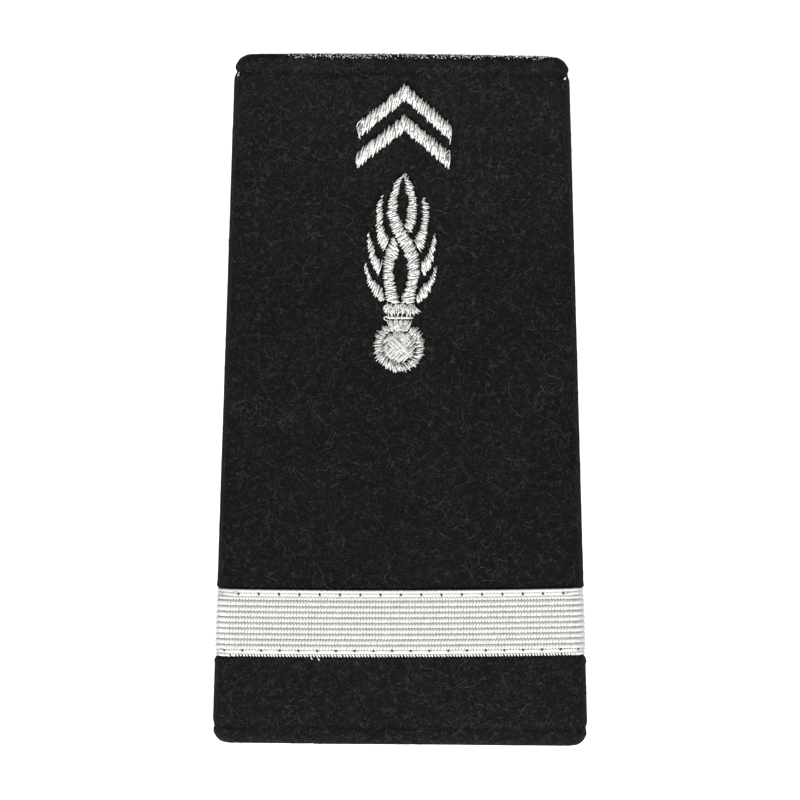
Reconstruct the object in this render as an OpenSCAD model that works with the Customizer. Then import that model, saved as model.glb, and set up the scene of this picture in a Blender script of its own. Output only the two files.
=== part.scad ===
// Slip-on shoulder board: a flat tapered sleeve of wool cloth that slides
// over a shoulder strap. A ribbed braid crosses its wide end. Two chevrons
// and a flaming grenade are embroidered near its narrow end.
// The sleeve lies on its back. +Y runs to the narrow end, +Z out of the
// face, and the origin is the centre of the face that it rests on.

/* [Sleeve] */
// Length from end to end
board_l = 102.2; // [94:0.2:120]
// Width across the wide end
wide_w = 55.6; // [50:0.2:64]
// Width across the narrow end
narrow_w = 49.4; // [46:0.2:54]
// Angle by which both ends are cut askew
end_skew = 0.35; // [0:0.05:2]
// How far the narrow end arches out in the middle
end_arch = 0.2; // [0:0.05:0.6]
// Radius of the corners, seen from the front
corner_r = 2.3; // [1.6:0.1:4]
// Radius of the fold between front and sides
front_fold_r = 1.8; // [1.2:0.1:2.4]
// Radius of the fold between sides and back
back_fold_r = 2.6; // [1.6:0.1:3]
// How far the sides swell out at half height
side_swell = 0.5; // [0.2:0.1:0.8]

/* [Cloth] */
// Thickness of the wool cloth
cloth_t = 1.1; // [1:0.05:1.4]
// Thickness of the two pressed layers at a hem
hem_t = 1.9; // [1.5:0.1:2.4]
// Depth of the cloth turned in at each hem
hem_w = 8; // [6:0.5:10]
// Distance of a hem's stitch line from the end
stitch_in = 2.6; // [2.2:0.1:3.4]
// Width of the groove that the stitches press
groove_w = 1.3; // [0.8:0.1:1.6]
// Depth of that groove
groove_d = 0.35; // [0.2:0.05:0.5]
// Width of the side margins turned in over the back
margin_w = 8; // [6:0.5:10]
// Clear height of the strap channel inside
channel_h = 4.4; // [4.2:0.1:7]

/* [Back] */
// Distance of the back panel's edges from the sides
back_inset = 4; // [3.6:0.1:5.5]
// How much shorter the back panel is at each end
back_short = 0.4; // [0.2:0.1:1]
// Radius of the back panel's corners
back_corner_r = 1.5; // [0.8:0.1:2.5]

/* [Braid] */
// Width of the braid
braid_w = 10; // [8:0.5:14]
// Distance of the braid's lower edge from the wide end
braid_in = 12.9; // [9:0.1:20]
// Thickness of the braid between its ribs
braid_t = 0.65; // [0.5:0.05:0.8]
// Height of the ribs
rib_h = 0.25; // [0.15:0.05:0.35]
// Number of ribs between the borders
rib_n = 9; // [5:1:10]
// Width of the plain border towards the wide end
border_low_w = 1.1; // [0.8:0.1:2]
// Width of the plain border towards the narrow end
border_top_w = 1.6; // [0.8:0.1:2]
// Angle of the braid across the sleeve
braid_tilt = 0.3; // [0:0.1:1]
// How far the braid sags between its ends
braid_bow = 0.26; // [0:0.02:0.5]
// How deep the braid presses into the front
braid_press = 0.25; // [0.1:0.05:0.4]

/* [Embroidery] */
// Height of the stitched fields above the cloth
pad_h = 0.7; // [0.4:0.05:1]
// Distance of the upper chevron's peak from the narrow end
chevron_in = 4.45; // [3.5:0.05:6]
// Distance between the two chevrons' peaks
chevron_step = 4.55; // [4:0.05:6]
// Width across a chevron
chevron_w = 13.8; // [10:0.1:18]
// Rise of the upper chevron's arms
upper_rise = 5.9; // [4:0.1:7]
// Rise of the lower chevron's arms
lower_rise = 5.6; // [4:0.1:7]
// Height of a chevron's band
chevron_band = 2.5; // [1.6:0.1:3]
// Distance from the upper chevron's peak to the flame's tip
flame_in = 13.25; // [12.5:0.05:16]
// Height of the flame
flame_h = 19.2; // [15:0.1:22]
// Width across the flame
flame_w = 10.5; // [9:0.1:14]
// Width of the collar under the flame
collar_w = 5; // [4:0.1:6]
// Height of the collar
collar_h = 1.6; // [1.2:0.1:2.2]
// Width of the cord under the collar
cord_w = 4.3; // [3.4:0.1:5]
// Height of that cord
cord_h = 0.6; // [0.4:0.05:0.9]
// Width of the neck where it meets the cord
neck_w = 3.7; // [3:0.1:4.4]
// Height of the neck above the ball's rim
neck_rise = 0.12; // [0.05:0.01:0.4]
// Angle of the ball's rim that the neck takes
neck_angle = 59; // [45:1:70]
// Radius of the ball
ball_r = 3.8; // [3:0.1:4.6]
// Width of the stitched rim round the ball
rim_w = 1.35; // [0.9:0.05:1.6]
// Lean of the embroidery towards the right
lean = 1.25; // [0:0.05:3]
// Sideways place of the ball
ball_x = -0.3; // [-2:0.1:2]

/* [Hidden] */

felt_colour = "#1d1d1c";
braid_colour = "#e4e4df";
thread_colour = "#d0d0cc";

// Gap between pieces that are sewn on each other
sew_gap = 0.05;
// Gap between neighbouring fields of embroidery
thread_gap = 0.1;
// Length of a step between two thicknesses of cloth
cloth_step = 0.4;
// Length of the slope down into the braid's seat
seat_step = 0.15;
// Smallest radius inside a fold
tight_r = 0.2;
// Radii of the folds under the braid
seat_front_r = 1;
seat_back_r = 1.6;

back_t = cloth_t;
margin_z = back_t + sew_gap;
board_h = margin_z + cloth_t + channel_h + hem_t;
nose_r = hem_t / 2;
end_slope = -tan(end_skew);
seat_side = braid_t + rib_h + sew_gap;
braid_y = -board_l / 2 + braid_in + braid_w / 2;
braid_slope = tan(braid_tilt);

// Heights in the embroidery, above the ball's centre
neck_top = ball_r + neck_rise;
cord_low = neck_top + thread_gap;
collar_low = cord_low + cord_h + thread_gap;
flame_low = collar_low + collar_h + thread_gap;
peak_y = flame_low + flame_h + flame_in;
ball_y = board_l / 2 - chevron_in - peak_y;

// Columns of a station: its place along the sleeve, the slope and bow of its
// line, the insets of front and side, the cloth's thickness and two fold radii
PLACE = 0;
SLOPE = 1;
BOW = 2;
FRONT = 3;
SIDE = 4;
THICK = 5;
FRONT_R = 6;
BACK_R = 7;

function half_w(y) = (wide_w + (narrow_w - wide_w) * (y / board_l + 0.5)) / 2;

// Drop of a round edge of radius r at distance e from its end
function round_drop(r, e) = e >= r ? 0 : r - sqrt(r * r - (r - e) * (r - e));

function groove(e) =
    abs(e - stitch_in) >= groove_w / 2 ? 0 :
    groove_d * (1 + cos(360 * (e - stitch_in) / groove_w)) / 2;

// Thickness of the hem or cloth at distance e from the end
function hem_thick(e) =
    e < nose_r ? 2 * (nose_r - round_drop(nose_r, e)) :
    e < hem_w ? hem_t - groove(e) : cloth_t;

// Distances from the end at which a hem has a station
hem_steps = concat(
    [for (a = [12, 36, 62, 90]) nose_r * (1 - cos(a))],
    [(nose_r + stitch_in) / 2],
    [for (s = [-0.5, -0.25, 0, 0.25, 0.5]) stitch_in + s * groove_w],
    [hem_w - cloth_step, hem_w]
);

// Station of a hem at distance e from the wide end (-1) or the narrow end (1)
function hem_station(end, e) = [
    end * (board_l / 2 - e), end_slope, end > 0 ? -end_arch : 0,
    round_drop(nose_r, e) + groove(e),
    round_drop(corner_r, e) + groove(e),
    hem_thick(e), front_fold_r, back_fold_r
];

// Stations of the plain cloth and of the braid's seat, at distance v from
// the braid's middle
function plain_station(v) = [
    braid_y + v, braid_slope, braid_bow, 0, 0, cloth_t, front_fold_r, back_fold_r
];
function seat_station(v) = [
    braid_y + v, braid_slope, braid_bow, braid_press, seat_side, cloth_t,
    seat_front_r, seat_back_r
];

seat_half = braid_w / 2 + sew_gap;
sleeve_stations = concat(
    [for (e = hem_steps) hem_station(-1, e)],
    [plain_station(-seat_half - seat_step)],
    [for (v = [-seat_half, 0, seat_half]) seat_station(v)],
    [plain_station(seat_half + seat_step)],
    [for (i = [len(hem_steps) - 1:-1:0]) hem_station(1, hem_steps[i])]
);

// Angles at which the folds have a point, and shares of the side's height
// and of the front's half width at which they have one
BACK_FOLD = [0, 30, 60, 90];
FRONT_FOLD = [0, 22.5, 45, 67.5, 90];
SIDE_SHARES = [0.45, 0, -0.45];
FRONT_SHARES = [0.75, 0.5, 0.25];

// One skin of a cloth wrapped round the sleeve at a station, from the left
// tip over the front to the right tip
function skin(st, front, side, low, front_r, back_r, tip) =
    let (
        hw = half_w(st[PLACE]),
        high = board_h - front,
        corner_x = hw - side_swell - side,
        half = concat(
            [[hw - tip, low]],
            [for (a = BACK_FOLD)
                [corner_x - back_r * (1 - sin(a)), low + back_r * (1 - cos(a))]],
            [for (s = SIDE_SHARES) let (reach = 0.5 * (high - low) - back_r)
                [hw - side - side_swell * s * s, (low + high) / 2 - s * reach]],
            [for (a = FRONT_FOLD)
                [corner_x - front_r * (1 - cos(a)), high - front_r * (1 - sin(a))]],
            [for (f = FRONT_SHARES) [(corner_x - front_r) * f, high]]
        ),
        last = len(half) - 1,
        path = concat(
            [for (p = half) [-p.x, p.y]],
            [[0, high]],
            [for (i = [last:-1:0]) half[i]]
        )
    )
    [for (p = path) [
        p.x,
        st[PLACE] + st[SLOPE] * p.x + st[BOW] * pow(p.x / hw, 2),
        p.y
    ]];

function outer_skin(st) =
    skin(st, st[FRONT], st[SIDE], margin_z, st[FRONT_R], st[BACK_R], margin_w);

function inner_skin(st) =
    let (t = st[THICK], margin_t = min(t, cloth_t))
    skin(
        st, st[FRONT] + t, st[SIDE] + t, margin_z + margin_t,
        max(st[FRONT_R] - t, tight_r), max(st[BACK_R] - margin_t, tight_r), margin_w
    );

// Skin of the braid at height t above its seat
function braid_skin(v, t) =
    skin(
        seat_station(v), braid_press - sew_gap - t, seat_side - sew_gap - t,
        margin_z - sew_gap - t, seat_front_r + sew_gap + t,
        seat_back_r + sew_gap + t, back_inset - sew_gap
    );

// A border of the braid from its edge inwards: share of its width, and share
// of the braid's height
BORDER = [[0, 0.6], [0.12, 0.9], [0.85, 0.9]];

// Rows across the braid: distance from its lower edge, and height
rib_w = (braid_w - border_low_w - border_top_w) / rib_n;
braid_h = braid_t + rib_h;
braid_rows = concat(
    [for (b = BORDER) [b[0] * border_low_w, b[1] * braid_h]],
    [for (i = [0:2 * rib_n])
        [border_low_w + i * rib_w / 2, braid_t + (i % 2) * rib_h]],
    [for (i = [len(BORDER) - 1:-1:0])
        [braid_w - BORDER[i][0] * border_top_w, BORDER[i][1] * braid_h]]
);

// A closed sheet between two grids of points with the same rows and columns.
// Seen from above the top grid, its rows run up and its columns to the right.
module thick_sheet(top, bottom) {
    rows = len(top);
    cols = len(top[0]);
    n = rows * cols;
    function at(r, c) = r * cols + c;
    function quad(a, b, c, d) = [[a, b, c], [a, c, d]];
    faces = concat(
        [for (r = [0:rows - 2], c = [0:cols - 2])
            each quad(at(r, c), at(r + 1, c), at(r + 1, c + 1), at(r, c + 1))],
        [for (r = [0:rows - 2], c = [0:cols - 2])
            each quad(
                n + at(r, c), n + at(r, c + 1), n + at(r + 1, c + 1), n + at(r + 1, c)
            )],
        [for (c = [0:cols - 2])
            each quad(at(0, c), at(0, c + 1), n + at(0, c + 1), n + at(0, c))],
        [for (c = [0:cols - 2])
            each quad(
                at(rows - 1, c + 1), at(rows - 1, c),
                n + at(rows - 1, c), n + at(rows - 1, c + 1)
            )],
        [for (r = [0:rows - 2])
            each quad(at(r + 1, 0), at(r, 0), n + at(r, 0), n + at(r + 1, 0))],
        [for (r = [0:rows - 2])
            each quad(
                at(r, cols - 1), at(r + 1, cols - 1),
                n + at(r + 1, cols - 1), n + at(r, cols - 1)
            )]
    );
    polyhedron(points = concat([for (r = top) each r], [for (r = bottom) each r]), faces = faces);
}

// Crown of a stitched field: share of its width, and share of its height
CROWN = [[0, 0.4], [0.2, 0.82], [0.5, 1], [0.8, 0.82], [1, 0.4]];
// Width at which a field reaches its full height, and the least share of it
full_w = 1.2;
least_crown = 0.45;

function crown_h(width) =
    pad_h * min(1, least_crown + (1 - least_crown) * width / full_w);

// A field of stitches; each row is its place along Y, its left and right edge
module field(rows) {
    function across(r, c) = r[1] + (r[2] - r[1]) * c;
    top = [for (r = rows) [for (c = CROWN)
        [across(r, c[0]), r[0], crown_h(r[2] - r[1]) * c[1]]]];
    bottom = [for (r = rows) [for (c = CROWN) [across(r, c[0]), r[0], 0]]];
    thick_sheet(top, bottom);
}

// The embroidery's own frame, with its origin at the ball's centre
module on_face() {
    translate([ball_x, ball_y, board_h + sew_gap]) rotate(-lean) children();
}

module front_panel() {
    color(felt_colour)
        thick_sheet(
            [for (st = sleeve_stations) outer_skin(st)],
            [for (st = sleeve_stations) inner_skin(st)]
        );
}

// Points of a quarter of a round corner about p, from a given angle
function corner_arc(p, r, from) = [
    for (a = [0:18:90]) [p.x + r * cos(from + a), p.y + r * sin(from + a)]
];

// The back panel's edge at distance e from an end and inset i from the sides
function back_point(side, end, e, i) =
    let (
        y = end * (board_l / 2 - e),
        x = side * (half_w(y) - i)
    )
    [x, y + end_slope * x];

// The back panel's outline, with round corners
module back_outline() {
    r = back_corner_r;
    e = back_short + r;
    i = back_inset + r;
    polygon(concat(
        corner_arc(back_point(1, 1, e, i), r, 0),
        corner_arc(back_point(-1, 1, e, i), r, 90),
        corner_arc(back_point(-1, -1, e, i), r, 180),
        corner_arc(back_point(1, -1, e, i), r, 270)
    ));
}

// The turned layer of the back's hem, between the side margins
module back_turn(end) {
    far = hem_w;
    near = back_short + back_corner_r;
    inset = margin_w + cloth_step;
    polygon([
        back_point(-1, end, near, inset), back_point(1, end, near, inset),
        back_point(1, end, far, inset), back_point(-1, end, far, inset)
    ]);
}

module back_groove(end) {
    translate([0, end * (board_l / 2 - stitch_in), 0])
        rotate(-end_skew)
            cube([wide_w, groove_w / 2, 2 * groove_d], center = true);
}

module back_panel() {
    color(felt_colour)
        difference() {
            union() {
                linear_extrude(back_t) back_outline();
                for (end = [-1, 1])
                    translate([0, 0, back_t / 2])
                        linear_extrude(hem_t - back_t / 2) back_turn(end);
            }
            for (end = [-1, 1]) back_groove(end);
        }
}

module braid() {
    color(braid_colour)
        thick_sheet(
            [for (r = braid_rows) braid_skin(r[0] - braid_w / 2, r[1])],
            [for (r = braid_rows) braid_skin(r[0] - braid_w / 2, 0)]
        );
}

// A chevron with its peak at height y. The field is laid out along Y and turned.
module chevron(y, rise) {
    color(thread_colour)
        on_face() translate([0, y]) rotate(90)
            field([for (s = [-1:0.25:1])
                [s * chevron_w / 2, -rise * abs(s) - chevron_band, -rise * abs(s)]]);
}

// The flame's inner strand that passes over: share of the flame's height, and
// left and right edge as shares of its half width, from the root to the tip
STRAND = [
    [0, 0.015, 0.38], [0.05, 0.035, 0.43], [0.13, 0.14, 0.475],
    [0.23, 0.21, 0.53], [0.32, 0.165, 0.495], [0.40, 0.04, 0.47],
    [0.49, -0.165, 0.305], [0.59, -0.345, 0.04], [0.69, -0.44, -0.135],
    [0.80, -0.405, -0.145], [0.915, -0.265, -0.055], [1.00, -0.02, 0.02]
];
strand_left = [for (r = STRAND) [r[0], r[1]]];
strand_right = [for (r = STRAND) [r[0], r[2]]];
// Gap at the crossing, as a share of the flame's half width
cross_gap = 2 * thread_gap / (flame_w / 2);
// Heights of the rows of the strand that passes under, below and above the crossing
UNDER_LOW = [0, 0.05, 0.13, 0.23, 0.32, 0.40, 0.45, 0.485, 0.50];
UNDER_TOP = [0.54, 0.56, 0.59, 0.69, 0.80, 0.915, 0.965];

// The side flames on the right, from the root to the tip, in the same shares
FLAME_TOP = [
    [0.415, 0.49, 0.56], [0.45, 0.42, 0.65], [0.49, 0.345, 0.69],
    [0.53, 0.43, 0.725], [0.567, 0.50, 0.735], [0.61, 0.545, 0.75],
    [0.68, 0.545, 0.74], [0.76, 0.555, 0.725], [0.80, 0.545, 0.64],
    [0.826, 0.563, 0.60]
];
FLAME_MID = [
    [0.22, 0.61, 0.685], [0.26, 0.56, 0.79], [0.30, 0.55, 0.86],
    [0.335, 0.62, 0.90], [0.375, 0.72, 0.92], [0.41, 0.765, 0.95],
    [0.49, 0.85, 0.975], [0.548, 0.92, 0.95]
];
FLAME_LOW = [
    [0.005, 0.48, 0.52], [0.027, 0.45, 0.63], [0.065, 0.475, 0.775],
    [0.105, 0.515, 0.86], [0.143, 0.62, 0.92], [0.18, 0.78, 0.95],
    [0.22, 0.855, 0.99], [0.26, 0.925, 1.03], [0.30, 0.985, 1.015]
];

// Rows of a flame in millimetres; side is 1 on the right and -1 on the left
function flame_rows(shares, side) = [
    for (r = shares) [
        flame_low + r[0] * flame_h,
        min(side * r[1], side * r[2]) * flame_w / 2,
        max(side * r[1], side * r[2]) * flame_w / 2
    ]
];

module flame(shares, side) {
    color(thread_colour) on_face() field(flame_rows(shares, side));
}

module strand_over() {
    flame(STRAND, 1);
}

module strand_under_low() {
    flame([for (s = UNDER_LOW) [
        s, -lookup(s, strand_right),
        min(-lookup(s, strand_left), lookup(s, strand_left) - cross_gap)
    ]], 1);
}

module strand_under_top() {
    flame([for (s = UNDER_TOP) [
        s, max(-lookup(s, strand_right), lookup(s, strand_right) + cross_gap),
        -lookup(s, strand_left)
    ]], 1);
}

// Rows of the collar: share of its height, left and right edge as shares of
// its half width, with a small nub on the right
COLLAR = [[0, -0.93, 0.93], [0.25, -1, 1.15], [0.5, -0.97, 1.1], [0.75, -1, 1], [1, -0.9, 0.9]];

module collar() {
    color(thread_colour) on_face()
        field([for (r = COLLAR)
            [collar_low + r[0] * collar_h, r[1] * collar_w / 2, r[2] * collar_w / 2]]);
}

module neck_cord() {
    color(thread_colour) on_face()
        field([for (r = [[0, 0.94], [0.5, 1], [1, 0.94]])
            [cord_low + r[0] * cord_h, -r[1] * cord_w / 2, r[1] * cord_w / 2]]);
}

rim_in = ball_r - rim_w;
gap_angle = 180 * thread_gap / (PI * rim_in);

// The neck fills the gap in the ball's rim and ends in a straight top
module neck() {
    function arc(r) = [
        for (c = CROWN) let (a = 90 + neck_angle * (0.5 - c[0])) r * [cos(a), sin(a)]
    ];
    rows = [arc(rim_in), arc(ball_r), [for (c = CROWN) [(c[0] - 0.5) * neck_w, neck_top]]];
    function patch(h) = [
        for (row = rows) [for (i = [0:len(CROWN) - 1])
            [row[i].x, row[i].y, h * pad_h * CROWN[i][1]]]
    ];
    color(thread_colour) on_face() thick_sheet(patch(1), patch(0));
}

module ball_rim() {
    color(thread_colour) on_face()
        rotate(90 + neck_angle / 2 + gap_angle)
            rotate_extrude(angle = 360 - neck_angle - 2 * gap_angle, $fn = 72)
                polygon(concat(
                    [[ball_r, 0], [rim_in, 0]],
                    [for (c = CROWN) [rim_in + c[0] * rim_w, pad_h * c[1]]]
                ));
}

// Dome of the ball's filling: share of its radius, and share of its height
DOME = [[1, 0.5], [0.8, 0.85], [0, 1]];

module ball_fill() {
    fill_r = rim_in - thread_gap;
    color(thread_colour) on_face()
        rotate_extrude($fn = 72)
            polygon(concat(
                [[0, 0], [fill_r, 0]],
                [for (d = DOME) [d[0] * fill_r, d[1] * pad_h]]
            ));
}

front_panel();
back_panel();
braid();
chevron(peak_y, upper_rise);  // chevron_upper
chevron(peak_y - chevron_step, lower_rise);  // chevron_lower
strand_over();
strand_under_low();
strand_under_top();
flame(FLAME_TOP, -1);  // flame_left_top
flame(FLAME_MID, -1);  // flame_left_mid
flame(FLAME_LOW, -1);  // flame_left_low
flame(FLAME_TOP, 1);  // flame_right_top
flame(FLAME_MID, 1);  // flame_right_mid
flame(FLAME_LOW, 1);  // flame_right_low
collar();
neck_cord();
neck();
ball_rim();
ball_fill();
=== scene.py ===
# %% [markdown]
# # A slip-on shoulder board: wool felt, braid and satin stitch
#
# The object is a flat sleeve of black wool felt that slides over a shoulder
# strap. A ribbed white braid crosses its wide end, and two chevrons and a
# flaming grenade are embroidered near its narrow end.
#
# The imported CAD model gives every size. What the eye reads, though, is fibre
# and thread, so most of this lesson lays threads and hairs on the CAD solids.

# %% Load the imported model
import math
import random

import bmesh
import bpy
import numpy as np
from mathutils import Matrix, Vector
from mathutils.bvhtree import BVHTree


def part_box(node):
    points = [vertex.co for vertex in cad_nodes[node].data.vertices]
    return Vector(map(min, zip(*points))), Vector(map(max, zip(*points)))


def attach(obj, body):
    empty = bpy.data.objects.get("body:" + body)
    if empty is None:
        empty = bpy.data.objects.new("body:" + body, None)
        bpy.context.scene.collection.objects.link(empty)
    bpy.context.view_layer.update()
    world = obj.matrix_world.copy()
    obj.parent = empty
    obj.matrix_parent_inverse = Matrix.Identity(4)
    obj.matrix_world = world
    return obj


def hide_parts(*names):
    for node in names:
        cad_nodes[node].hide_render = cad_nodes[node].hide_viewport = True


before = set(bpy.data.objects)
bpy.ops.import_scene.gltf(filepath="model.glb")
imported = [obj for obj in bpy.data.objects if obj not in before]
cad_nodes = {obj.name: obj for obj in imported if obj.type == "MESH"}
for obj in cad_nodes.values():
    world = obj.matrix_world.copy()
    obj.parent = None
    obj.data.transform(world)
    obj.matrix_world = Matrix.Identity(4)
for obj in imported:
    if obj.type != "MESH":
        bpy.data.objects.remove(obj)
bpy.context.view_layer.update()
MM = 0.001
UP = Vector((0, 0, 1))
draw = random.Random(7)

# %% [markdown]
# ## Camera and light
#
# The photograph looks straight down, as a scanner does: neither long side
# leans in. A wide lens would spread the sides, so the camera is a long lens
# far above the face. Its place comes from the pixel at which the sleeve's
# origin lies and from the size of one pixel on the face.

# %% Camera straight above the face
PHOTO_SIDE = 800
PIXEL = 0.148 * MM
ORIGIN_PIXEL = (401.0, 399.0)
PHOTO_LEAN = math.radians(0.17)
SENSOR = 36.0
LENS = 600.0
face_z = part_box("front_panel")[1].z


def heading(angle):
    """A level direction at an angle from +X."""
    return Vector((math.cos(angle), math.sin(angle), 0))


def bearing(degrees):
    return heading(math.radians(degrees))


def look_down():
    across = (PHOTO_SIDE / 2 - ORIGIN_PIXEL[0]) * PIXEL
    along = (ORIGIN_PIXEL[1] - PHOTO_SIDE / 2) * PIXEL
    height = face_z + PHOTO_SIDE * PIXEL * LENS / SENSOR
    camera = bpy.data.objects.new("camera", bpy.data.cameras.new("camera"))
    camera.data.sensor_width = SENSOR
    camera.data.lens = LENS
    camera.location = (
        across * heading(PHOTO_LEAN)
        + along * heading(PHOTO_LEAN + math.pi / 2)
        + height * UP
    )
    camera.rotation_euler = (0, 0, PHOTO_LEAN)
    bpy.context.scene.collection.objects.link(camera)
    bpy.context.scene.camera = camera
    print("camera height in mm:", round(height / MM, 1))


look_down()

# %% [markdown]
# The light is a long soft panel on the side of the wide end. Each rib of the
# braid is bright on that side and grey on the other, which tells where the
# photograph's light stood. The world adds an even glow from all round, and
# the floor is a lit white table, because the photograph's ground is pure white.

# %% Soft light, world and white floor
PANEL_SIZE = (2.0, 0.6)
PANELS = {
    "key_panel": (Vector((-0.15, -1.56, 1.32)), 89.0),
    "fill_panel": (Vector((0.80, 1.00, 1.50)), 12.0),
}
WORLD_GLOW = 0.59


def hang_panel(name, place, power):
    panel = bpy.data.lights.new(name, "AREA")
    panel.shape = "RECTANGLE"
    panel.size, panel.size_y = PANEL_SIZE
    panel.energy = power
    lamp = bpy.data.objects.new(name, panel)
    lamp.location = place
    lamp.rotation_euler = (-place).to_track_quat("-Z", "Y").to_euler()
    bpy.context.scene.collection.objects.link(lamp)


def glow_all_round():
    world = bpy.data.worlds.new("studio")
    world.use_nodes = True
    world.node_tree.nodes["Background"].inputs["Color"].default_value = (1, 1, 1, 1)
    world.node_tree.nodes["Background"].inputs["Strength"].default_value = WORLD_GLOW
    bpy.context.scene.world = world


def white_floor():
    reach, drop = 3.0, 0.05 * MM
    mesh = bpy.data.meshes.new("floor")
    corners = [(-reach, -reach), (reach, -reach), (reach, reach), (-reach, reach)]
    mesh.from_pydata([(x, y, -drop) for x, y in corners], [], [(0, 1, 2, 3)])
    floor = bpy.data.objects.new("floor", mesh)
    bpy.context.scene.collection.objects.link(floor)
    table = bpy.data.materials.new("lit_table")
    table.use_nodes = True
    shader = table.node_tree.nodes["Principled BSDF"].inputs
    shader["Base Color"].default_value = (0.25, 0.25, 0.25, 1)
    shader["Roughness"].default_value = 0.9
    shader["Emission Color"].default_value = (1, 1, 1, 1)
    shader["Emission Strength"].default_value = 1.0
    mesh.materials.append(table)


for name, (place, power) in PANELS.items():
    hang_panel(name, place, power)
glow_all_round()
white_floor()
bpy.context.scene.view_settings.view_transform = "Standard"
print("lights:", list(PANELS))

# %% [markdown]
# ## Building with nodes
#
# Shaders and Geometry Nodes are both node trees, so one small helper adds a
# node to either: it sets the node's own settings and gives each input a value
# or a link. Trees built in code can be read, changed and run again.

# %% Helpers for node trees


def add(tree, kind, inputs=(), **settings):
    """Adds a node and returns its outputs; inputs maps a name or number to a value or a link."""
    made = tree.nodes.new(kind)
    for name, value in settings.items():
        setattr(made, name, value)
    for name, value in dict(inputs).items():
        if isinstance(value, bpy.types.NodeSocket):
            tree.links.new(value, made.inputs[name])
        else:
            made.inputs[name].default_value = value
    return made.outputs


def maths(tree, operation, *values):
    return add(tree, "ShaderNodeMath", enumerate(values), operation=operation)[0]


def times(tree, *values):
    """All the values multiplied."""
    product, *others = values
    for value in others:
        product = maths(tree, "MULTIPLY", product, value)
    return product


def minus(tree, value, less):
    return maths(tree, "SUBTRACT", value, less)


def vectors(tree, operation, *values):
    """A vector operation; the outputs are the vector and, for a dot product or a length, the value."""
    return add(tree, "ShaderNodeVectorMath", enumerate(values), operation=operation)


def one_kind(kind, *names, **settings):
    """A function that adds this kind of node, sets the named inputs in turn and returns output 0."""

    def place(tree, *values, **more):
        return add(tree, kind, {**dict(zip(names, values)), **more}, **settings)[0]

    return place


xyz = one_kind("ShaderNodeCombineXYZ", 0, 1, 2)


def apart(tree, vector):
    return add(tree, "ShaderNodeSeparateXYZ", {0: vector})


def scaled(tree, vector, factor):
    return add(tree, "ShaderNodeVectorMath", {0: vector, "Scale": factor}, operation="SCALE")[0]


def spread(tree, value, low, high, to_low, to_high, smooth=False):
    kind = "SMOOTHSTEP" if smooth else "LINEAR"
    ends = {"Value": value, "From Min": low, "From Max": high, "To Min": to_low, "To Max": to_high}
    return add(tree, "ShaderNodeMapRange", ends, interpolation_type=kind)["Result"]


def noise(tree, place, size, output="Fac", **more):
    """A noise with waves of a size in metres, which is a number or a link."""
    fineness = 1 / size if isinstance(size, float) else maths(tree, "DIVIDE", 1.0, size)
    return add(tree, "ShaderNodeTexNoise", {"Vector": place, "Scale": fineness, **more})[output]

# %% [markdown]
# A tree's sockets come from a plain table of names and first values. So the
# sizes of each tree stand together at its top, and a modifier or another tree
# sets them by name.

# %% Open a tree with named sockets
SOCKETS = {int: "NodeSocketInt", float: "NodeSocketFloat", Vector: "NodeSocketVector"}


def open_tree(name, kind, takes, gives):
    """A new tree with named inputs and outputs. A text in place of a value names a socket's kind."""
    tree = bpy.data.node_groups.new(name, kind)
    for in_out, sockets in (("INPUT", takes), ("OUTPUT", gives)):
        for label, value in sockets.items():
            socket_type = "NodeSocket" + value if isinstance(value, str) else SOCKETS[type(value)]
            socket = tree.interface.new_socket(label, in_out=in_out, socket_type=socket_type)
            if not isinstance(value, str):
                socket.default_value = value
    given = tree.nodes.new("NodeGroupInput").outputs
    result = tree.nodes.new("NodeGroupOutput").inputs
    return tree, given, result


# %% [markdown]
# Some steps of Geometry Nodes come back in each tree below, so the nodes that
# are used most get short names. Every tree that a modifier runs takes a geometry
# and a material, and ends in the same way: its copies become real and get the
# material.

# %% Helpers for geometry trees
position = one_kind("GeometryNodeInputPosition")
normal_here = one_kind("GeometryNodeInputNormal")
tangent_here = one_kind("GeometryNodeInputTangent")
to_curve = one_kind("GeometryNodeMeshToCurve", "Mesh")
line_between = one_kind("GeometryNodeCurvePrimitiveLine", "Start", "End")
set_position = one_kind("GeometryNodeSetPosition", "Geometry")
real = one_kind("GeometryNodeRealizeInstances", "Geometry")
smooth = one_kind("GeometryNodeSetShadeSmooth", "Geometry")
stored = one_kind("GeometryNodeInputNamedAttribute", "Name", data_type="FLOAT_VECTOR")
turn_to = one_kind(
    "FunctionNodeAxesToRotation", "Primary Axis", "Secondary Axis",
    primary_axis="Z", secondary_axis="X",
)


def chance(tree, seed, low=0.0, high=1.0, vector=False):
    """A random number or vector for each element."""
    kind, first, output = ("FLOAT_VECTOR", 0, 0) if vector else ("FLOAT", 2, 1)
    inputs = {first: low, first + 1: high, "Seed": seed}
    return add(tree, "FunctionNodeRandomValue", inputs, data_type=kind)[output]


def store(tree, geometry, name, value, kind="FLOAT_VECTOR", domain="POINT"):
    inputs = {"Geometry": geometry, "Name": name, "Value": value}
    return add(tree, "GeometryNodeStoreNamedAttribute", inputs, data_type=kind, domain=domain)[0]


def resample(tree, curve, **how):
    mode = "LENGTH" if "Length" in how else "COUNT"
    return add(tree, "GeometryNodeResampleCurve", {"Curve": curve, **how}, mode=mode)[0]


def open_geometry(name, takes):
    takes = {"Geometry": "Geometry", **takes, "Material": "Material"}
    return open_tree(name, "GeometryNodeTree", takes, {"Geometry": "Geometry"})


def close(tree, given, result, geometry):
    paint = {"Geometry": real(tree, geometry), "Material": given["Material"]}
    tree.links.new(add(tree, "GeometryNodeSetMaterial", paint)[0], result[0])
    print("tree:", tree.name)
    return tree


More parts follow.
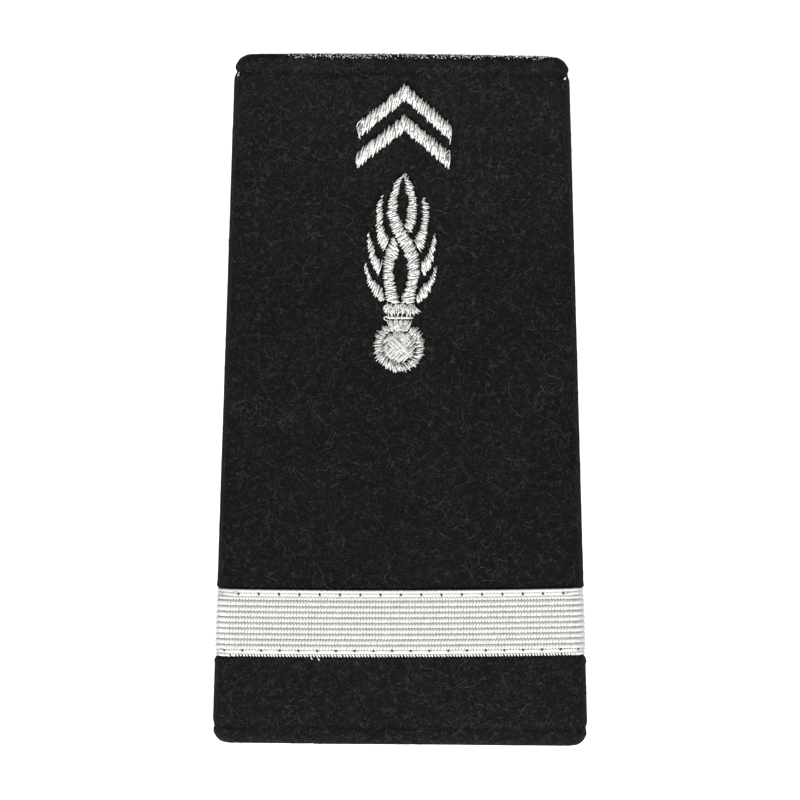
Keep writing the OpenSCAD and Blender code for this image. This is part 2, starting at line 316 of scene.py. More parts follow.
# %% [markdown]
# ## Running a tree
#
# A modifier's inputs are set by the socket's identifier before anything is
# evaluated. The result is then kept as a plain mesh, and the source goes, so
# that each piece is final before it is handed to the frame.

# %% Turn a node tree into a finished mesh


def show(name, mesh):
    piece = bpy.data.objects.new(name, mesh)
    bpy.context.scene.collection.objects.link(piece)
    return piece


def hand_over(piece, node=None):
    """Attaches a piece to the root body, and hides the CAD node that it stands for."""
    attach(piece, "root")
    if node:
        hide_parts(node)
    return piece


def set_inputs(modifier, sizes):
    for socket in modifier.node_group.interface.items_tree:
        if socket.in_out == "INPUT" and socket.name in sizes:
            modifier[socket.identifier] = sizes[socket.name]


def grow(name, source, tree, sizes, voxel=None):
    """Runs a Geometry Nodes tree on source, after a remesh if voxel is given, and returns a plain piece."""
    if voxel:
        remesh = source.modifiers.new("remesh", "REMESH")
        remesh.mode = "VOXEL"
        remesh.voxel_size = voxel
    modifier = source.modifiers.new(tree.name, "NODES")
    modifier.node_group = tree
    set_inputs(modifier, sizes)
    bpy.context.view_layer.update()
    graph = bpy.context.evaluated_depsgraph_get()
    mesh = bpy.data.meshes.new_from_object(source.evaluated_get(graph))
    mesh.name = name
    source.modifiers.clear()
    bpy.data.objects.remove(source)
    piece = show(name, mesh)
    triangles = sum(len(p.vertices) - 2 for p in mesh.polygons)
    print(f"{name}: {len(mesh.vertices)} points, {triangles} triangles")
    return piece


# %% [markdown]
# ## Copies and ray trees of the CAD solids
#
# A CAD node arrives as loose triangles. A copy of it is merged into a closed
# mesh before anything is built on it, and the node itself is left alone. A ray
# tree answers the question that every thread asks: where is the surface here?

# %% Merged copies, and rays onto a node
WELD = 0.001 * MM
FAR = 100 * MM


def merged_copy(node):
    welded = bmesh.new()
    welded.from_mesh(cad_nodes[node].data)
    bmesh.ops.remove_doubles(welded, verts=welded.verts, dist=WELD)
    mesh = bpy.data.meshes.new(node + "_copy")
    welded.to_mesh(mesh)
    welded.free()
    return mesh


def reshaped_copy(node, moved_to):
    """A merged copy in which each point goes to moved_to(point, normal)."""
    mesh = merged_copy(node)
    normals = [v.normal.copy() for v in mesh.vertices]
    for vertex, normal in zip(mesh.vertices, normals):
        vertex.co = moved_to(vertex.co, normal)
    return mesh


def ray_tree(node):
    welded = bmesh.new()
    welded.from_mesh(cad_nodes[node].data)
    tree = BVHTree.FromBMesh(welded)
    welded.free()
    return tree


def seen(surface, point, outward=UP):
    """The point of the surface that is met first from outside on the way to a point."""
    return surface.ray_cast(point + outward * FAR, -outward)[0]


def reach(surface, middle, way, step=0.05 * MM):
    """How far a piece goes on from its point in a level direction, seen from above."""
    length = step
    while seen(surface, middle + way * length) is not None:
        length += step
    return length - step / 2


surfaces = {name: ray_tree(name) for name in cad_nodes}
print("ray trees:", len(surfaces))

# %% [markdown]
# ## Yarn
#
# Everything sewn here is yarn: a centre line and a small, slightly flat
# section that turns round it, as two plies do. A tube of pixels in an image
# would do for a distant view, but real tubes shade each other and keep their
# shape from every side. Each yarn keeps two attributes for its material: a
# random tone, and the direction in which its filaments run.

# %% The yarn tree, used inside the other trees
YARN = {
    "Thickness": 0.25 * MM, "Flatness": 1.15, "Twist": 0.0, "Taper": 0.0, "Taper Power": 3.0,
    "Bias": 0.0, "Sides": 6, "Seed": 0, "Material": "Material",
}


def yarn_tree():
    takes = {"Curve": "Geometry", **YARN}
    tree, given, result = open_tree("yarn", "GeometryNodeTree", takes, {"Mesh": "Geometry"})
    toned = store(tree, given["Curve"], "tone", chance(tree, given["Seed"]), "FLOAT", "CURVE")
    directed = store(tree, toned, "run", tangent_here(tree))
    place = add(tree, "GeometryNodeSplineParameter")
    turn = times(tree, place["Length"], given["Twist"])
    twisted = add(tree, "GeometryNodeSetCurveTilt", {"Curve": directed, "Tilt": turn})[0]
    ring = {"Resolution": given["Sides"], "Radius": times(tree, given["Thickness"], 0.5)}
    circle = add(tree, "GeometryNodeCurvePrimitiveCircle", ring, mode="RADIUS")[0]
    narrow = maths(tree, "DIVIDE", 1.0, given["Flatness"])
    shape = xyz(tree, given["Flatness"], narrow, 1.0)
    section = add(tree, "GeometryNodeTransform", {"Geometry": circle, "Scale": shape})[0]
    from_middle = maths(tree, "MULTIPLY_ADD", place["Factor"], 2.0, -1.0)
    near_end = maths(tree, "POWER", maths(tree, "ABSOLUTE", from_middle), given["Taper Power"])
    by_end = maths(tree, "MULTIPLY_ADD", maths(tree, "SIGN", from_middle), given["Bias"], 1.0)
    size = minus(tree, 1.0, times(tree, near_end, by_end, given["Taper"]))
    tube = {"Curve": twisted, "Profile Curve": section, "Scale": size, "Fill Caps": True}
    return close(tree, given, result, smooth(tree, add(tree, "GeometryNodeCurveToMesh", tube)[0]))


yarn = yarn_tree()


def spin(tree, curve, given):
    """Adds the yarn tree to another tree, which passes its own inputs of the same names on to it."""
    made = tree.nodes.new("GeometryNodeGroup")
    made.node_tree = yarn
    tree.links.new(curve, made.inputs["Curve"])
    for name in YARN:
        tree.links.new(given[name], made.inputs[name])
    return made.outputs["Mesh"]


print("yarn inputs:", list(YARN))

# %% [markdown]
# ### Guide lines
#
# A guide is a chain of edges. Its points may keep the direction out of the
# surface, so that a stitch that is copied along it stands the right way up.

# %% Guides as chains of edges


def guide(name, lines, outward=None):
    """A mesh of edge chains; outward gives a direction for each point of each line."""
    points = [p for line in lines for p in line]
    edges, first = [], 0
    for line in lines:
        edges += [(i, i + 1) for i in range(first, first + len(line) - 1)]
        first += len(line)
    mesh = bpy.data.meshes.new(name)
    mesh.from_pydata(points, edges, [])
    if outward:
        kept = mesh.attributes.new("outward", "FLOAT_VECTOR", "POINT")
        kept.data.foreach_set("vector", [x for line in outward for o in line for x in o])
    return show(name, mesh)


# %% [markdown]
# ### Three ways to lay yarn
#
# *Laid threads* follow guides point by point, as satin stitch does. *Sewn
# stitches* repeat one small arch along a guide, as a machine does: the ribs of
# the braid, its running stitches and the black hem stitches are all this arch
# with other sizes. *Loose fibres* start at random points of a felt surface.

# %% Laid threads


def laid_threads_tree():
    tree, given, result = open_geometry("laid threads", {
        "Step": 0.12 * MM, **YARN, "Thickness": 0.26 * MM, "Flatness": 1.4, "Twist": 9000.0,
        "Taper": 0.45,
    })
    curve = to_curve(tree, given["Geometry"])
    rounded = add(
        tree, "GeometryNodeCurveSplineType", {"Curve": curve}, spline_type="CATMULL_ROM"
    )[0]
    even = resample(tree, rounded, Length=given["Step"])
    return close(tree, given, result, spin(tree, even, given))


laid_threads = laid_threads_tree()

# %% [markdown]
# The sewn arch runs from one needle hole to the next. `Along` and `Across` are
# its reach on the surface, `Rise` the height of its crown and `Sink` the depth
# of its ends. A high `Squareness` makes a long flat stitch, and a low one a
# round loop. `Gap Pitch` and `Gap` leave stitches out at regular places.

# %% Sewn stitches


def stitch_arch(tree, given):
    """One stitch as a curve about the origin, with the surface at height 0."""
    level = xyz(tree, given["Along"], given["Across"])
    half = scaled(tree, level, 0.5)
    line = line_between(tree, scaled(tree, half, -1.0), half)
    factor = add(tree, "GeometryNodeSplineParameter")["Factor"]
    from_middle = maths(tree, "ABSOLUTE", maths(tree, "MULTIPLY_ADD", factor, 2.0, -1.0))
    fall = maths(tree, "POWER", from_middle, given["Squareness"])
    drop = times(tree, fall, maths(tree, "ADD", given["Rise"], given["Sink"]))
    offset = xyz(tree, 0.0, 0.0, minus(tree, given["Rise"], drop))
    return set_position(tree, resample(tree, line, Count=given["Points"]), Offset=offset)


def sewn_stitches_tree():
    tree, given, result = open_geometry("sewn stitches", {
        "Pitch": 2 * MM, "Along": 1.4 * MM, "Across": 0.0, "Rise": 0.1 * MM, "Sink": 0.2 * MM,
        "Squareness": 2.0, "Points": 6, "Gap Pitch": 1.0, "Gap": 0.0, "Unevenness": 0.05,
        **YARN, "Flatness": 1.1,
    })
    curve = to_curve(tree, given["Geometry"])
    even = resample(tree, curve, Length=given["Pitch"])
    tangent = tangent_here(tree)
    shake = chance(tree, given["Seed"], scaled(tree, tangent, -1.0), tangent, vector=True)
    amount = times(tree, given["Pitch"], given["Unevenness"])
    so_far = add(tree, "GeometryNodeSplineParameter")["Length"]
    from_hole = maths(tree, "PINGPONG", so_far, times(tree, given["Gap Pitch"], 0.5))
    kept = add(
        tree, "FunctionNodeCompare", {0: from_hole, 1: given["Gap"]},
        data_type="FLOAT", operation="GREATER_EQUAL",
    )[0]
    least = minus(tree, 1.0, given["Unevenness"])
    most = maths(tree, "ADD", 1.0, given["Unevenness"])
    copies = add(tree, "GeometryNodeInstanceOnPoints", {
        "Points": set_position(tree, even, Offset=scaled(tree, shake, amount)),
        "Selection": kept, "Instance": stitch_arch(tree, given),
        "Rotation": turn_to(tree, stored(tree, "outward"), tangent),
        "Scale": chance(tree, given["Seed"], least, most),
    })[0]
    return close(tree, given, result, spin(tree, real(tree, copies), given))


sewn_stitches = sewn_stitches_tree()

# %% [markdown]
# A loose fibre starts as a straight line that touches the felt. A noise of its
# own bends it in its plane, and then each of its points is brought to the
# nearest surface and lifted off it again, least at the ends, where the fibre is
# rooted. `Stand` lifts one end more than the other, so that the fibre stands.
# Only the outer side of the felt grows fibres: there the surface faces away
# from the core line of the sleeve. `Facing` keeps them off the steep sides.

# %% Loose fibres
HOVER = 0.4 * MM


def growing(tree, given, place):
    """1 where the felt faces away from the sleeve's core line and is inside all the limits."""
    normal = normal_here(tree)
    core = xyz(tree, 0.0, 0.0, given["Core Height"])
    away = vectors(tree, "SUBTRACT", place, core)[0]
    level = vectors(tree, "MULTIPLY", away, (1, 0, 1))[0]
    facing = vectors(tree, "DOT_PRODUCT", level, normal)["Value"]
    limits = [(facing, 0.0), (maths(tree, "ABSOLUTE", apart(tree, normal)["Z"]), given["Facing"])]
    limits += [(apart(tree, place)[axis], given["From " + axis]) for axis in "XYZ"]
    return times(tree, *[maths(tree, "GREATER_THAN", *limit) for limit in limits])


def bend(tree, given, place, stand, own):
    """The pull of a curly noise at each point of a fibre, along the felt's surface."""
    shifted = vectors(tree, "ADD", place, own)[0]
    waves = noise(tree, shifted, given["Curl Size"], "Color", Detail=1.0, Roughness=0.4)
    pull = scaled(tree, vectors(tree, "SUBTRACT", waves, (0.5, 0.5, 0.5))[0], given["Curl"])
    upward = vectors(tree, "DOT_PRODUCT", pull, stand)["Value"]
    return vectors(tree, "SUBTRACT", pull, scaled(tree, stand, upward))[0]


def lifted(tree, given):
    """The height of each point of a fibre over the felt."""
    factor = add(tree, "GeometryNodeSplineParameter")["Factor"]
    arch = maths(tree, "SINE", times(tree, factor, math.pi))
    share = add(
        tree, "GeometryNodeFieldOnDomain", {0: chance(tree, given["Seed"])},
        domain="CURVE", data_type="FLOAT",
    )[0]
    rise = maths(tree, "MULTIPLY_ADD", factor, given["Stand"], times(tree, arch, given["Arch"]))
    return maths(tree, "MULTIPLY_ADD", arch, given["Lift"], times(tree, rise, share))

# %% [markdown]
# The roots are scattered over the felt. A slow noise makes them dense in some
# patches and sparse in others, as on brushed wool. Hair particles could be
# scattered too, but here each fibre is a yarn, with the same two attributes.

# %% The loose-fibres tree


def loose_fibres_tree():
    tree, given, result = open_geometry("loose fibres", {
        "Density": 1e5, "From X": -1.0, "From Y": -1.0, "From Z": -1.0,
        "Core Height": 4.4 * MM, "Facing": 0.2, "Shortest": 1 * MM, "Longest": 4 * MM,
        "Points": 10, "Curl Size": 1.5 * MM, "Curl": 1 * MM, "Lift": 0.05 * MM,
        "Arch": 0.15 * MM, "Stand": 0.0, "Patch Size": 12 * MM,
        **YARN, "Thickness": 0.05 * MM, "Flatness": 1.0, "Taper": 0.7, "Sides": 3,
    })
    felt, seed = given["Geometry"], given["Seed"]
    place = position(tree)
    patches = noise(tree, place, given["Patch Size"], Detail=1.0)
    thick = spread(tree, patches, 0.35, 0.65, 0.45, 1.55)
    density = times(tree, thick, growing(tree, given, place), given["Density"])
    sown = {"Mesh": felt, "Density": density, "Seed": seed}
    roots = add(tree, "GeometryNodeDistributePointsOnFaces", sown)
    any_way = chance(tree, seed, (-1, -1, -1), (1, 1, 1), vector=True)
    points = store(tree, roots["Points"], "stand", roots["Normal"])
    points = store(tree, points, "own", any_way)
    stand, own = stored(tree, "stand"), stored(tree, "own")
    line = line_between(tree, (-0.5, 0, 0), (0.5, 0, 0))
    copies = add(tree, "GeometryNodeInstanceOnPoints", {
        "Points": points, "Instance": resample(tree, line, Count=given["Points"]),
        "Rotation": turn_to(tree, stand, any_way),
        "Scale": chance(tree, seed, given["Shortest"], given["Longest"]),
    })[0]
    pull = bend(tree, given, place, stand, own)
    hover = vectors(tree, "ADD", pull, scaled(tree, stand, HOVER))[0]
    curly = set_position(tree, real(tree, copies), Offset=hover)
    nearest = add(tree, "GeometryNodeProximity", {"Geometry": felt}, target_element="FACES")
    surface = {"Mesh": felt, "Value": normal_here(tree)}
    outward = add(
        tree, "GeometryNodeSampleNearestSurface", surface, data_type="FLOAT_VECTOR"
    )["Value"]
    raised = scaled(tree, outward, lifted(tree, given))
    landed = vectors(tree, "ADD", nearest["Position"], raised)[0]
    settled = set_position(tree, curly, Position=landed)
    return close(tree, given, result, spin(tree, settled, given))


loose_fibres = loose_fibres_tree()

# %% [markdown]
# ## Materials
#
# All yarns share one effect: a bundle of fine filaments that runs along the
# yarn, and a tone of its own for each length of yarn. It is a shader group,
# built once. The noise is squeezed across the yarn's direction and stretched
# along it, so that the filaments follow every bend without a UV map.

# %% The filament group


def filament_group():
    takes = {
        "Direction": Vector((1, 0, 0)), "Tone": 0.5, "Filament Size": 0.05 * MM,
        "Contrast": 0.3, "Tone Spread": 0.2, "Glint Size": 0.22 * MM, "Glints": 0.0,
    }
    gives = {"Shade": 0.0, "Height": 0.0}
    tree, given, result = open_tree("filaments", "ShaderNodeTree", takes, gives)
    place = add(tree, "ShaderNodeTexCoord")["Object"]
    direction = vectors(tree, "NORMALIZE", given["Direction"])[0]
    along = vectors(tree, "DOT_PRODUCT", place, direction)["Value"]
    lengthwise = scaled(tree, direction, along)
    crosswise = vectors(tree, "SUBTRACT", place, lengthwise)[0]
    squeezed, twisted = [
        vectors(tree, "ADD", crosswise, scaled(tree, lengthwise, share))[0] for share in (0.12, 0.5)
    ]
    grain = noise(tree, squeezed, given["Filament Size"], Detail=2.0)
    streaks = spread(tree, grain, 0.3, 0.7, 0.0, 1.0)
    # Glints darken small patches of the colour: painted highlights and shade of a twisted thread.
    patches = noise(tree, twisted, given["Glint Size"], Detail=0.0)
    losses = (
        (minus(tree, 1.0, streaks), given["Contrast"]),
        (minus(tree, 1.0, given["Tone"]), given["Tone Spread"]),
        (spread(tree, patches, 0.4, 0.6, 1.0, 0.0), given["Glints"]),
    )
    shade = times(tree, *[minus(tree, 1.0, times(tree, *loss)) for loss in losses])
    tree.links.new(shade, result["Shade"])
    tree.links.new(streaks, result["Height"])
    return tree


filaments = filament_group()
print("shader group:", filaments.name)

# %% [markdown]
# Each material keeps its own shader. What is the same all over a surface is a
# plain value on it, and the group drives only the colour and a fine relief.

# %% Start a material, and make it a yarn's


def start_material(name, roughness, specular):
    """A new material with what is the same all over its surface set on the shader itself."""
    material = bpy.data.materials.new(name)
    material.use_nodes = True
    shader = material.node_tree.nodes["Principled BSDF"].inputs
    shader["Roughness"].default_value = roughness
    shader["Specular IOR Level"].default_value = specular
    return material, material.node_tree, shader


def raise_grain(tree, shader, height, depth, strength=1.0):
    normal = add(
        tree, "ShaderNodeBump", {"Height": height, "Distance": depth, "Strength": strength}
    )[0]
    tree.links.new(normal, shader["Normal"])


def yarn_material(name, colour, gloss, tone_power=1.0, **effect):
    """A yarn of a colour; gloss is its roughness and specular level, effect the group's inputs."""
    material, tree, shader = start_material(name, *gloss)
    run = add(tree, "ShaderNodeAttribute", attribute_name="run")["Vector"]
    tone = add(tree, "ShaderNodeAttribute", attribute_name="tone")["Fac"]
    made = tree.nodes.new("ShaderNodeGroup")
    made.node_tree = filaments
    tree.links.new(run, made.inputs["Direction"])
    tree.links.new(maths(tree, "POWER", tone, tone_power), made.inputs["Tone"])
    for label, value in effect.items():
        made.inputs[label.replace("_", " ").title()].default_value = value
    tinted = scaled(tree, colour, made.outputs["Shade"])
    tree.links.new(tinted, shader["Base Color"])
    raise_grain(tree, shader, made.outputs["Height"], 0.02 * MM, 0.6)
    return material


# %% [markdown]
# The embroidery thread is a glossy silver-white, the braid a whiter and duller
# yarn, and the hems are sewn in black. Loose wool fibres go from near black to
# a few light grey ones, so their tone is raised to a power before it is used.

# %% Yarn materials
silver_thread = yarn_material(
    "silver_thread", (0.99, 1.0, 0.96), (0.38, 0.8), tone_spread=0.15, contrast=0.05, glints=0.34
)
silver_thread.node_tree.nodes["Principled BSDF"].inputs["Metallic"].default_value = 0.30
braid_yarn = yarn_material(
    "braid_yarn", (0.642, 0.646, 0.62), (0.6, 0.3), tone_spread=0.08, contrast=0.14, glints=0.06
)
braid_shade = yarn_material("braid_shade", (0.76, 0.762, 0.738), (0.8, 0.1), contrast=0.25)
black_thread = yarn_material(
    "black_thread", (0.02, 0.02, 0.019), (0.45, 0.3), tone_spread=0.30, contrast=0.40
)
wool_fibre = yarn_material(
    "wool_fibre", (0.105, 0.107, 0.102), (0.7, 0.1), tone_power=3.5, tone_spread=0.96, contrast=0.2
)
# The nap that stands up at the narrow end: dark to near white, the white a painted highlight.
end_nap_painted_highlight = yarn_material(
    "end_nap_painted_highlight", (0.98, 0.98, 0.96), (0.6, 0.2), tone_power=0.8, tone_spread=0.97, contrast=0.1
)
print("yarn materials:", [m.name for m in bpy.data.materials if m.name != "lit_table"])

# %% [markdown]
# Felt is a mat of fibres that lie in every direction. Lines where a smooth
# noise crosses its middle value are thin closed curls, and cut into pieces by
# a second noise they look like such fibres. Three sizes of them are laid over
# a fine grain, as colour and as height, on a black that gives back very
# little light: wool traps it, so the specular level is low. Towards both ends
# the felt's colour is a little lighter, and most at the narrow end, as the
# photograph shows.

# %% The felt material
BLACK = (0.0029, 0.0058)
CURL_LIGHT = 0.015
CURLS = ((1.7 * MM, 0.020, 0.0), (1.0 * MM, 0.032, 0.31), (0.6 * MM, 0.05, 0.67))


def curl_layer(tree, place, size, width, shift):
    moved = vectors(tree, "ADD", place, (shift, shift / 2, 0))[0]
    wave = noise(tree, moved, size, Detail=1.0, Distortion=0.8)
    line = spread(tree, maths(tree, "ABSOLUTE", minus(tree, wave, 0.5)), 0.0, width, 1.0, 0.0)
    return times(tree, line, spread(tree, noise(tree, moved, size / 0.7), 0.44, 0.58, 0.0, 1.0))


def felt_material():
    material, tree, shader = start_material("wool_felt", 0.95, 0.035)
    place = add(tree, "ShaderNodeTexCoord")["Object"]
    mat = 0.0
    for size, width, shift in CURLS:
        mat = maths(tree, "MAXIMUM", curl_layer(tree, place, size, width, shift), mat)
    grain = noise(tree, place, 0.3 * MM, Detail=3.0)
    cloud = noise(tree, place, 9 * MM, Detail=2.0)
    black = spread(tree, grain, 0.3, 0.7, *BLACK)
    ground = times(tree, black, spread(tree, cloud, 0.3, 0.7, 0.9, 1.15))
    along = apart(tree, place)["Y"]
    # The colour is a little lighter towards both ends, and most at the narrow end.
    by_end = spread(tree, maths(tree, "ABSOLUTE", along), 20 * MM, 50 * MM, 0.97, 1.23)
    lighter_to_ends = times(tree, by_end, spread(tree, along, -50 * MM, 50 * MM, 0.96, 1.09))
    light = times(tree, maths(tree, "MULTIPLY_ADD", mat, CURL_LIGHT, ground), lighter_to_ends)
    tree.links.new(scaled(tree, (1.0, 1.0, 0.95), light), shader["Base Color"])
    raise_grain(tree, shader, maths(tree, "MULTIPLY_ADD", grain, 0.8, mat), 0.06 * MM)
    return material


wool_felt = felt_material()
print("felt layers:", len(CURLS) + 2)

# %% [markdown]
# ## Lines on the sleeve
#
# The hems, the braid and the stitch lines all run round the sleeve. Their
# places are measured on the CAD solids: an edge is found at three places
# across the sleeve, and a parabola through them gives it anywhere between.

# %% Edges, and lines that run round the sleeve
MEASURE_AT = (-20 * MM, 0.0, 20 * MM)
CORE_INSET = 4.5 * MM
CORNER_STEP = 4
middle_z = (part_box("front_panel")[0].z + face_z) / 2


def edge_line(node, start_y, side):
    """The edge of a node towards side (1 or -1) of start_y, as a function from x to y."""
    way = Vector((0, side, 0))
    places = [start_y + side * reach(surfaces[node], Vector((x, start_y, 0)), way) for x in MEASURE_AT]
    curve = np.polyfit(MEASURE_AT, places, 2)
    return lambda x: float(np.polyval(curve, x))


def cast(surface, rays):
    """The points met before a ray reaches its aim, and the way out there, square to the Y axis."""
    points, ways = [], []
    for aim, outward in rays:
        point, normal, _, _ = surface.ray_cast(aim + outward * FAR, -outward)
        if point is not None and (point - aim).dot(outward) > 0:
            way = Vector((normal.x, 0, normal.z)).normalized()
            points.append(point)
            ways.append(way if way.dot(outward) > 0 else -way)
    return points, ways


def round_rays(surface, y_at):
    """Rays from the left margin over the front to the right margin, along a line y_at(x)."""
    level = Vector((1, 0, 0))
    half = surface.ray_cast(Vector((FAR, y_at(20 * MM), middle_z)), -level)[0].x
    core = half - CORE_INSET
    across = list(np.arange(-core, core, 0.5 * MM)) + [core]
    turns = list(range(180, 0, -CORNER_STEP))
    stations = [(-core, t + 90) for t in turns] + [(x, 90) for x in across]
    stations += [(core, t - 90) for t in turns[1:]] + [(core, -90)]
    rays = []
    for x, turn in stations:
        angle = math.radians(turn)
        outward = Vector((math.cos(angle), 0, math.sin(angle)))
        rays.append((Vector((x, y_at(x + CORE_INSET * math.cos(angle)), middle_z)), outward))
    return rays


def line_round(node, y_at):
    return cast(surfaces[node], round_rays(surfaces[node], y_at))


narrow_edge = edge_line("front_panel", 45 * MM, 1)
wide_edge = edge_line("front_panel", -45 * MM, -1)
braid_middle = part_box("braid")[0].y / 2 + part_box("braid")[1].y / 2
braid_low = edge_line("braid", braid_middle, -1)
braid_high = edge_line("braid", braid_middle, 1)
print("ends at", round(wide_edge(0) / MM, 2), round(narrow_edge(0) / MM, 2))
print("braid from", round(braid_low(0) / MM, 2), "to", round(braid_high(0) / MM, 2))

# %% [markdown]
# ## The felt sleeve
#
# The sleeve is cut from one sheet of wool felt, folded round to the back and
# turned in at both ends. The CAD solid has that form, but its faces are long
# and smooth. A remesh gives it small even faces, which a noise then moves by a
# few hundredths of a millimetre, and the stitch lines pull it in a little.

# %% Felt relief tree


def felt_relief_tree():
    tree, given, result = open_geometry("felt relief", {
        "Lump Size": 2.2 * MM, "Lump Height": 0.09 * MM, "Stitch Lines": "Object",
        "Pull": 0.10 * MM, "Pull Reach": 0.9 * MM, "Side Pull": 0.0, "Stitch Pitch": 2.05 * MM,
        "Band Low": 0.0, "Band High": 0.0, "Band Rise": 0.0, "Swell": 0.0,
    })
    place = position(tree)
    normal = normal_here(tree)
    at, facing = apart(tree, place), apart(tree, normal)
    lumps = noise(tree, place, given["Lump Size"], Detail=2.5, Roughness=0.65)
    bump = times(tree, minus(tree, lumps, 0.5), given["Lump Height"])
    lines = add(tree, "GeometryNodeObjectInfo", {"Object": given["Stitch Lines"]})["Geometry"]
    near = add(tree, "GeometryNodeProximity", {"Geometry": lines}, target_element="EDGES")
    closeness = spread(tree, near["Distance"], 0.0, given["Pull Reach"], 1.0, 0.0, smooth=True)
    phase = maths(tree, "DIVIDE", times(tree, at["X"], 2 * math.pi), given["Stitch Pitch"])
    tug = maths(tree, "MULTIPLY_ADD", maths(tree, "COSINE", phase), 0.5, 0.6)
    at_side = spread(tree, maths(tree, "ABSOLUTE", facing["X"]), 0.75, 1.0, 0.0, 1.0, smooth=True)
    narrow_half = maths(tree, "GREATER_THAN", at["Y"], 0.0)
    side_pull = times(tree, at_side, narrow_half, given["Side Pull"])
    pulled = times(
        tree, closeness, maths(tree, "ADD", times(tree, tug, given["Pull"]), side_pull)
    )
    above_low = minus(tree, at["Y"], given["Band Low"])
    in_band = maths(tree, "MINIMUM", above_low, minus(tree, given["Band High"], at["Y"]))
    rise = spread(tree, in_band, -1.1 * MM, -0.5 * MM, 0.0, 1.0, smooth=True)
    raised = maths(tree, "MULTIPLY_ADD", rise, given["Band Rise"], bump)
    steepness = minus(tree, 1.0, maths(tree, "ABSOLUTE", facing["Z"]))
    steepness = times(tree, steepness, spread(tree, facing["Y"], 0.0, 1.0, 1.0, 0.3))
    raised = maths(tree, "MULTIPLY_ADD", steepness, given["Swell"], raised)
    shift = scaled(tree, normal, minus(tree, raised, pulled))
    moved = set_position(tree, given["Geometry"], Offset=shift)
    return close(tree, given, result, smooth(tree, moved))


felt_relief = felt_relief_tree()

# %% [markdown]
# The hem stitches run 2.6 mm inside each end, round the front and the sides.
# The back panel has its own hems, and a line of stitches along each long edge
# joins it to the margins of the sleeve. The stitch lines are found first,
# because the felt sinks along them.

# %% Stitch lines of the hems and the back
HEM_IN = 2.6 * MM
FELL_IN = 1.3 * MM
BACK_INSET = 4.0 * MM
SEAM_STEP = 0.5
WIDTHS_AT = (-40 * MM, 40 * MM)


def under(node, places):
    """A line on the underside of a node, through level places."""
    return cast(surfaces[node], [(Vector((x, y, middle_z)), -UP) for x, y in places])


def half_at(y):
    """Half the sleeve's width at y, between the widths measured near its two ends."""
    widths = [
        surfaces["front_panel"].ray_cast(Vector((FAR, e, middle_z)), Vector((-1, 0, 0)))[0].x
        for e in WIDTHS_AT
    ]
    return float(np.polyval(np.polyfit(WIDTHS_AT, widths, 1), y))


front_seams = [
    line_round("front_panel", lambda x: wide_edge(x) + HEM_IN),
    line_round("front_panel", lambda x: narrow_edge(x) - HEM_IN),
]
hem_xs = np.arange(-18, 18.1, SEAM_STEP) * MM
fell_ys = np.arange(-48, 48.1, SEAM_STEP) * MM
back_seams = [under("back_panel", [(x, end(x) + inward) for x in hem_xs])
              for end, inward in ((wide_edge, HEM_IN), (narrow_edge, -HEM_IN))]
back_seams += [
    under("back_panel", [(side * (half_at(y) - BACK_INSET - FELL_IN), y) for y in fell_ys])
    for side in (-1, 1)
]
front_guide = guide("front_seams", *zip(*front_seams))
back_guide = guide("back_seams", *zip(*back_seams))
print("seams:", len(front_seams), "in front and", len(back_seams), "at the back")

# %% [markdown]
# The sheet was flat before it was folded: about 86 mm wide at the wide end and
# 80 mm at the narrow end with its margins, and 118 mm long with its hems. The
# back panel was about 47 mm and 41 mm wide, and 117 mm long with its hems.

# %% Felt panels
FELT_VOXEL = 0.5 * MM
SLEEVE_RELIEF = {
    "Stitch Lines": front_guide, "Pull": 0.07 * MM, "Side Pull": 0.04 * MM, "Pull Reach": 0.7 * MM,
    "Band Low": braid_low(0), "Band High": braid_high(0), "Band Rise": 0.14 * MM,
    "Swell": 0.13 * MM,
}
BACK_RELIEF = {"Stitch Lines": back_guide, "Pull": 0.22 * MM}


def felt_panel(name, node, sizes):
    source = show(node + "_source", merged_copy(node))
    sizes = {**sizes, "Material": wool_felt}
    return hand_over(grow(name, source, felt_relief, sizes, voxel=FELT_VOXEL), node)


sleeve = felt_panel("felt_sleeve", "front_panel", SLEEVE_RELIEF)
back = felt_panel("felt_back", "back_panel", BACK_RELIEF)

# %% [markdown]
# ## Black hem stitches
#
# Black thread on black felt hardly shows, but it catches a little more light
# than the wool does. The stitches are about 2 mm apart, each a long flat arch
# whose ends dive into the cloth.

# %% Sew the hems and the back


def sew(name, lines, sizes, material):
    """Runs the sewn-stitches tree along lines, each a pair of its points and outward directions."""
    source = guide(name + "_guide", *zip(*lines))
    hand_over(grow(name, source, sewn_stitches, {**sizes, "Material": material}))


HEM_STITCH = {
    "Pitch": 2.05 * MM, "Along": 1.5 * MM, "Across": 0.06 * MM, "Rise": -0.02 * MM,
    "Sink": 0.35 * MM, "Squareness": 5.0, "Points": 9, "Thickness": 0.2 * MM,
    "Twist": 9000.0, "Flatness": 1.2, "Seed": 3,
}
sew("hem_stitches", front_seams, HEM_STITCH, black_thread)
BACK_STITCH = {**HEM_STITCH, "Rise": -0.16 * MM, "Sink": 0.5 * MM, "Seed": 4}
sew("back_stitches", back_seams, BACK_STITCH, black_thread)
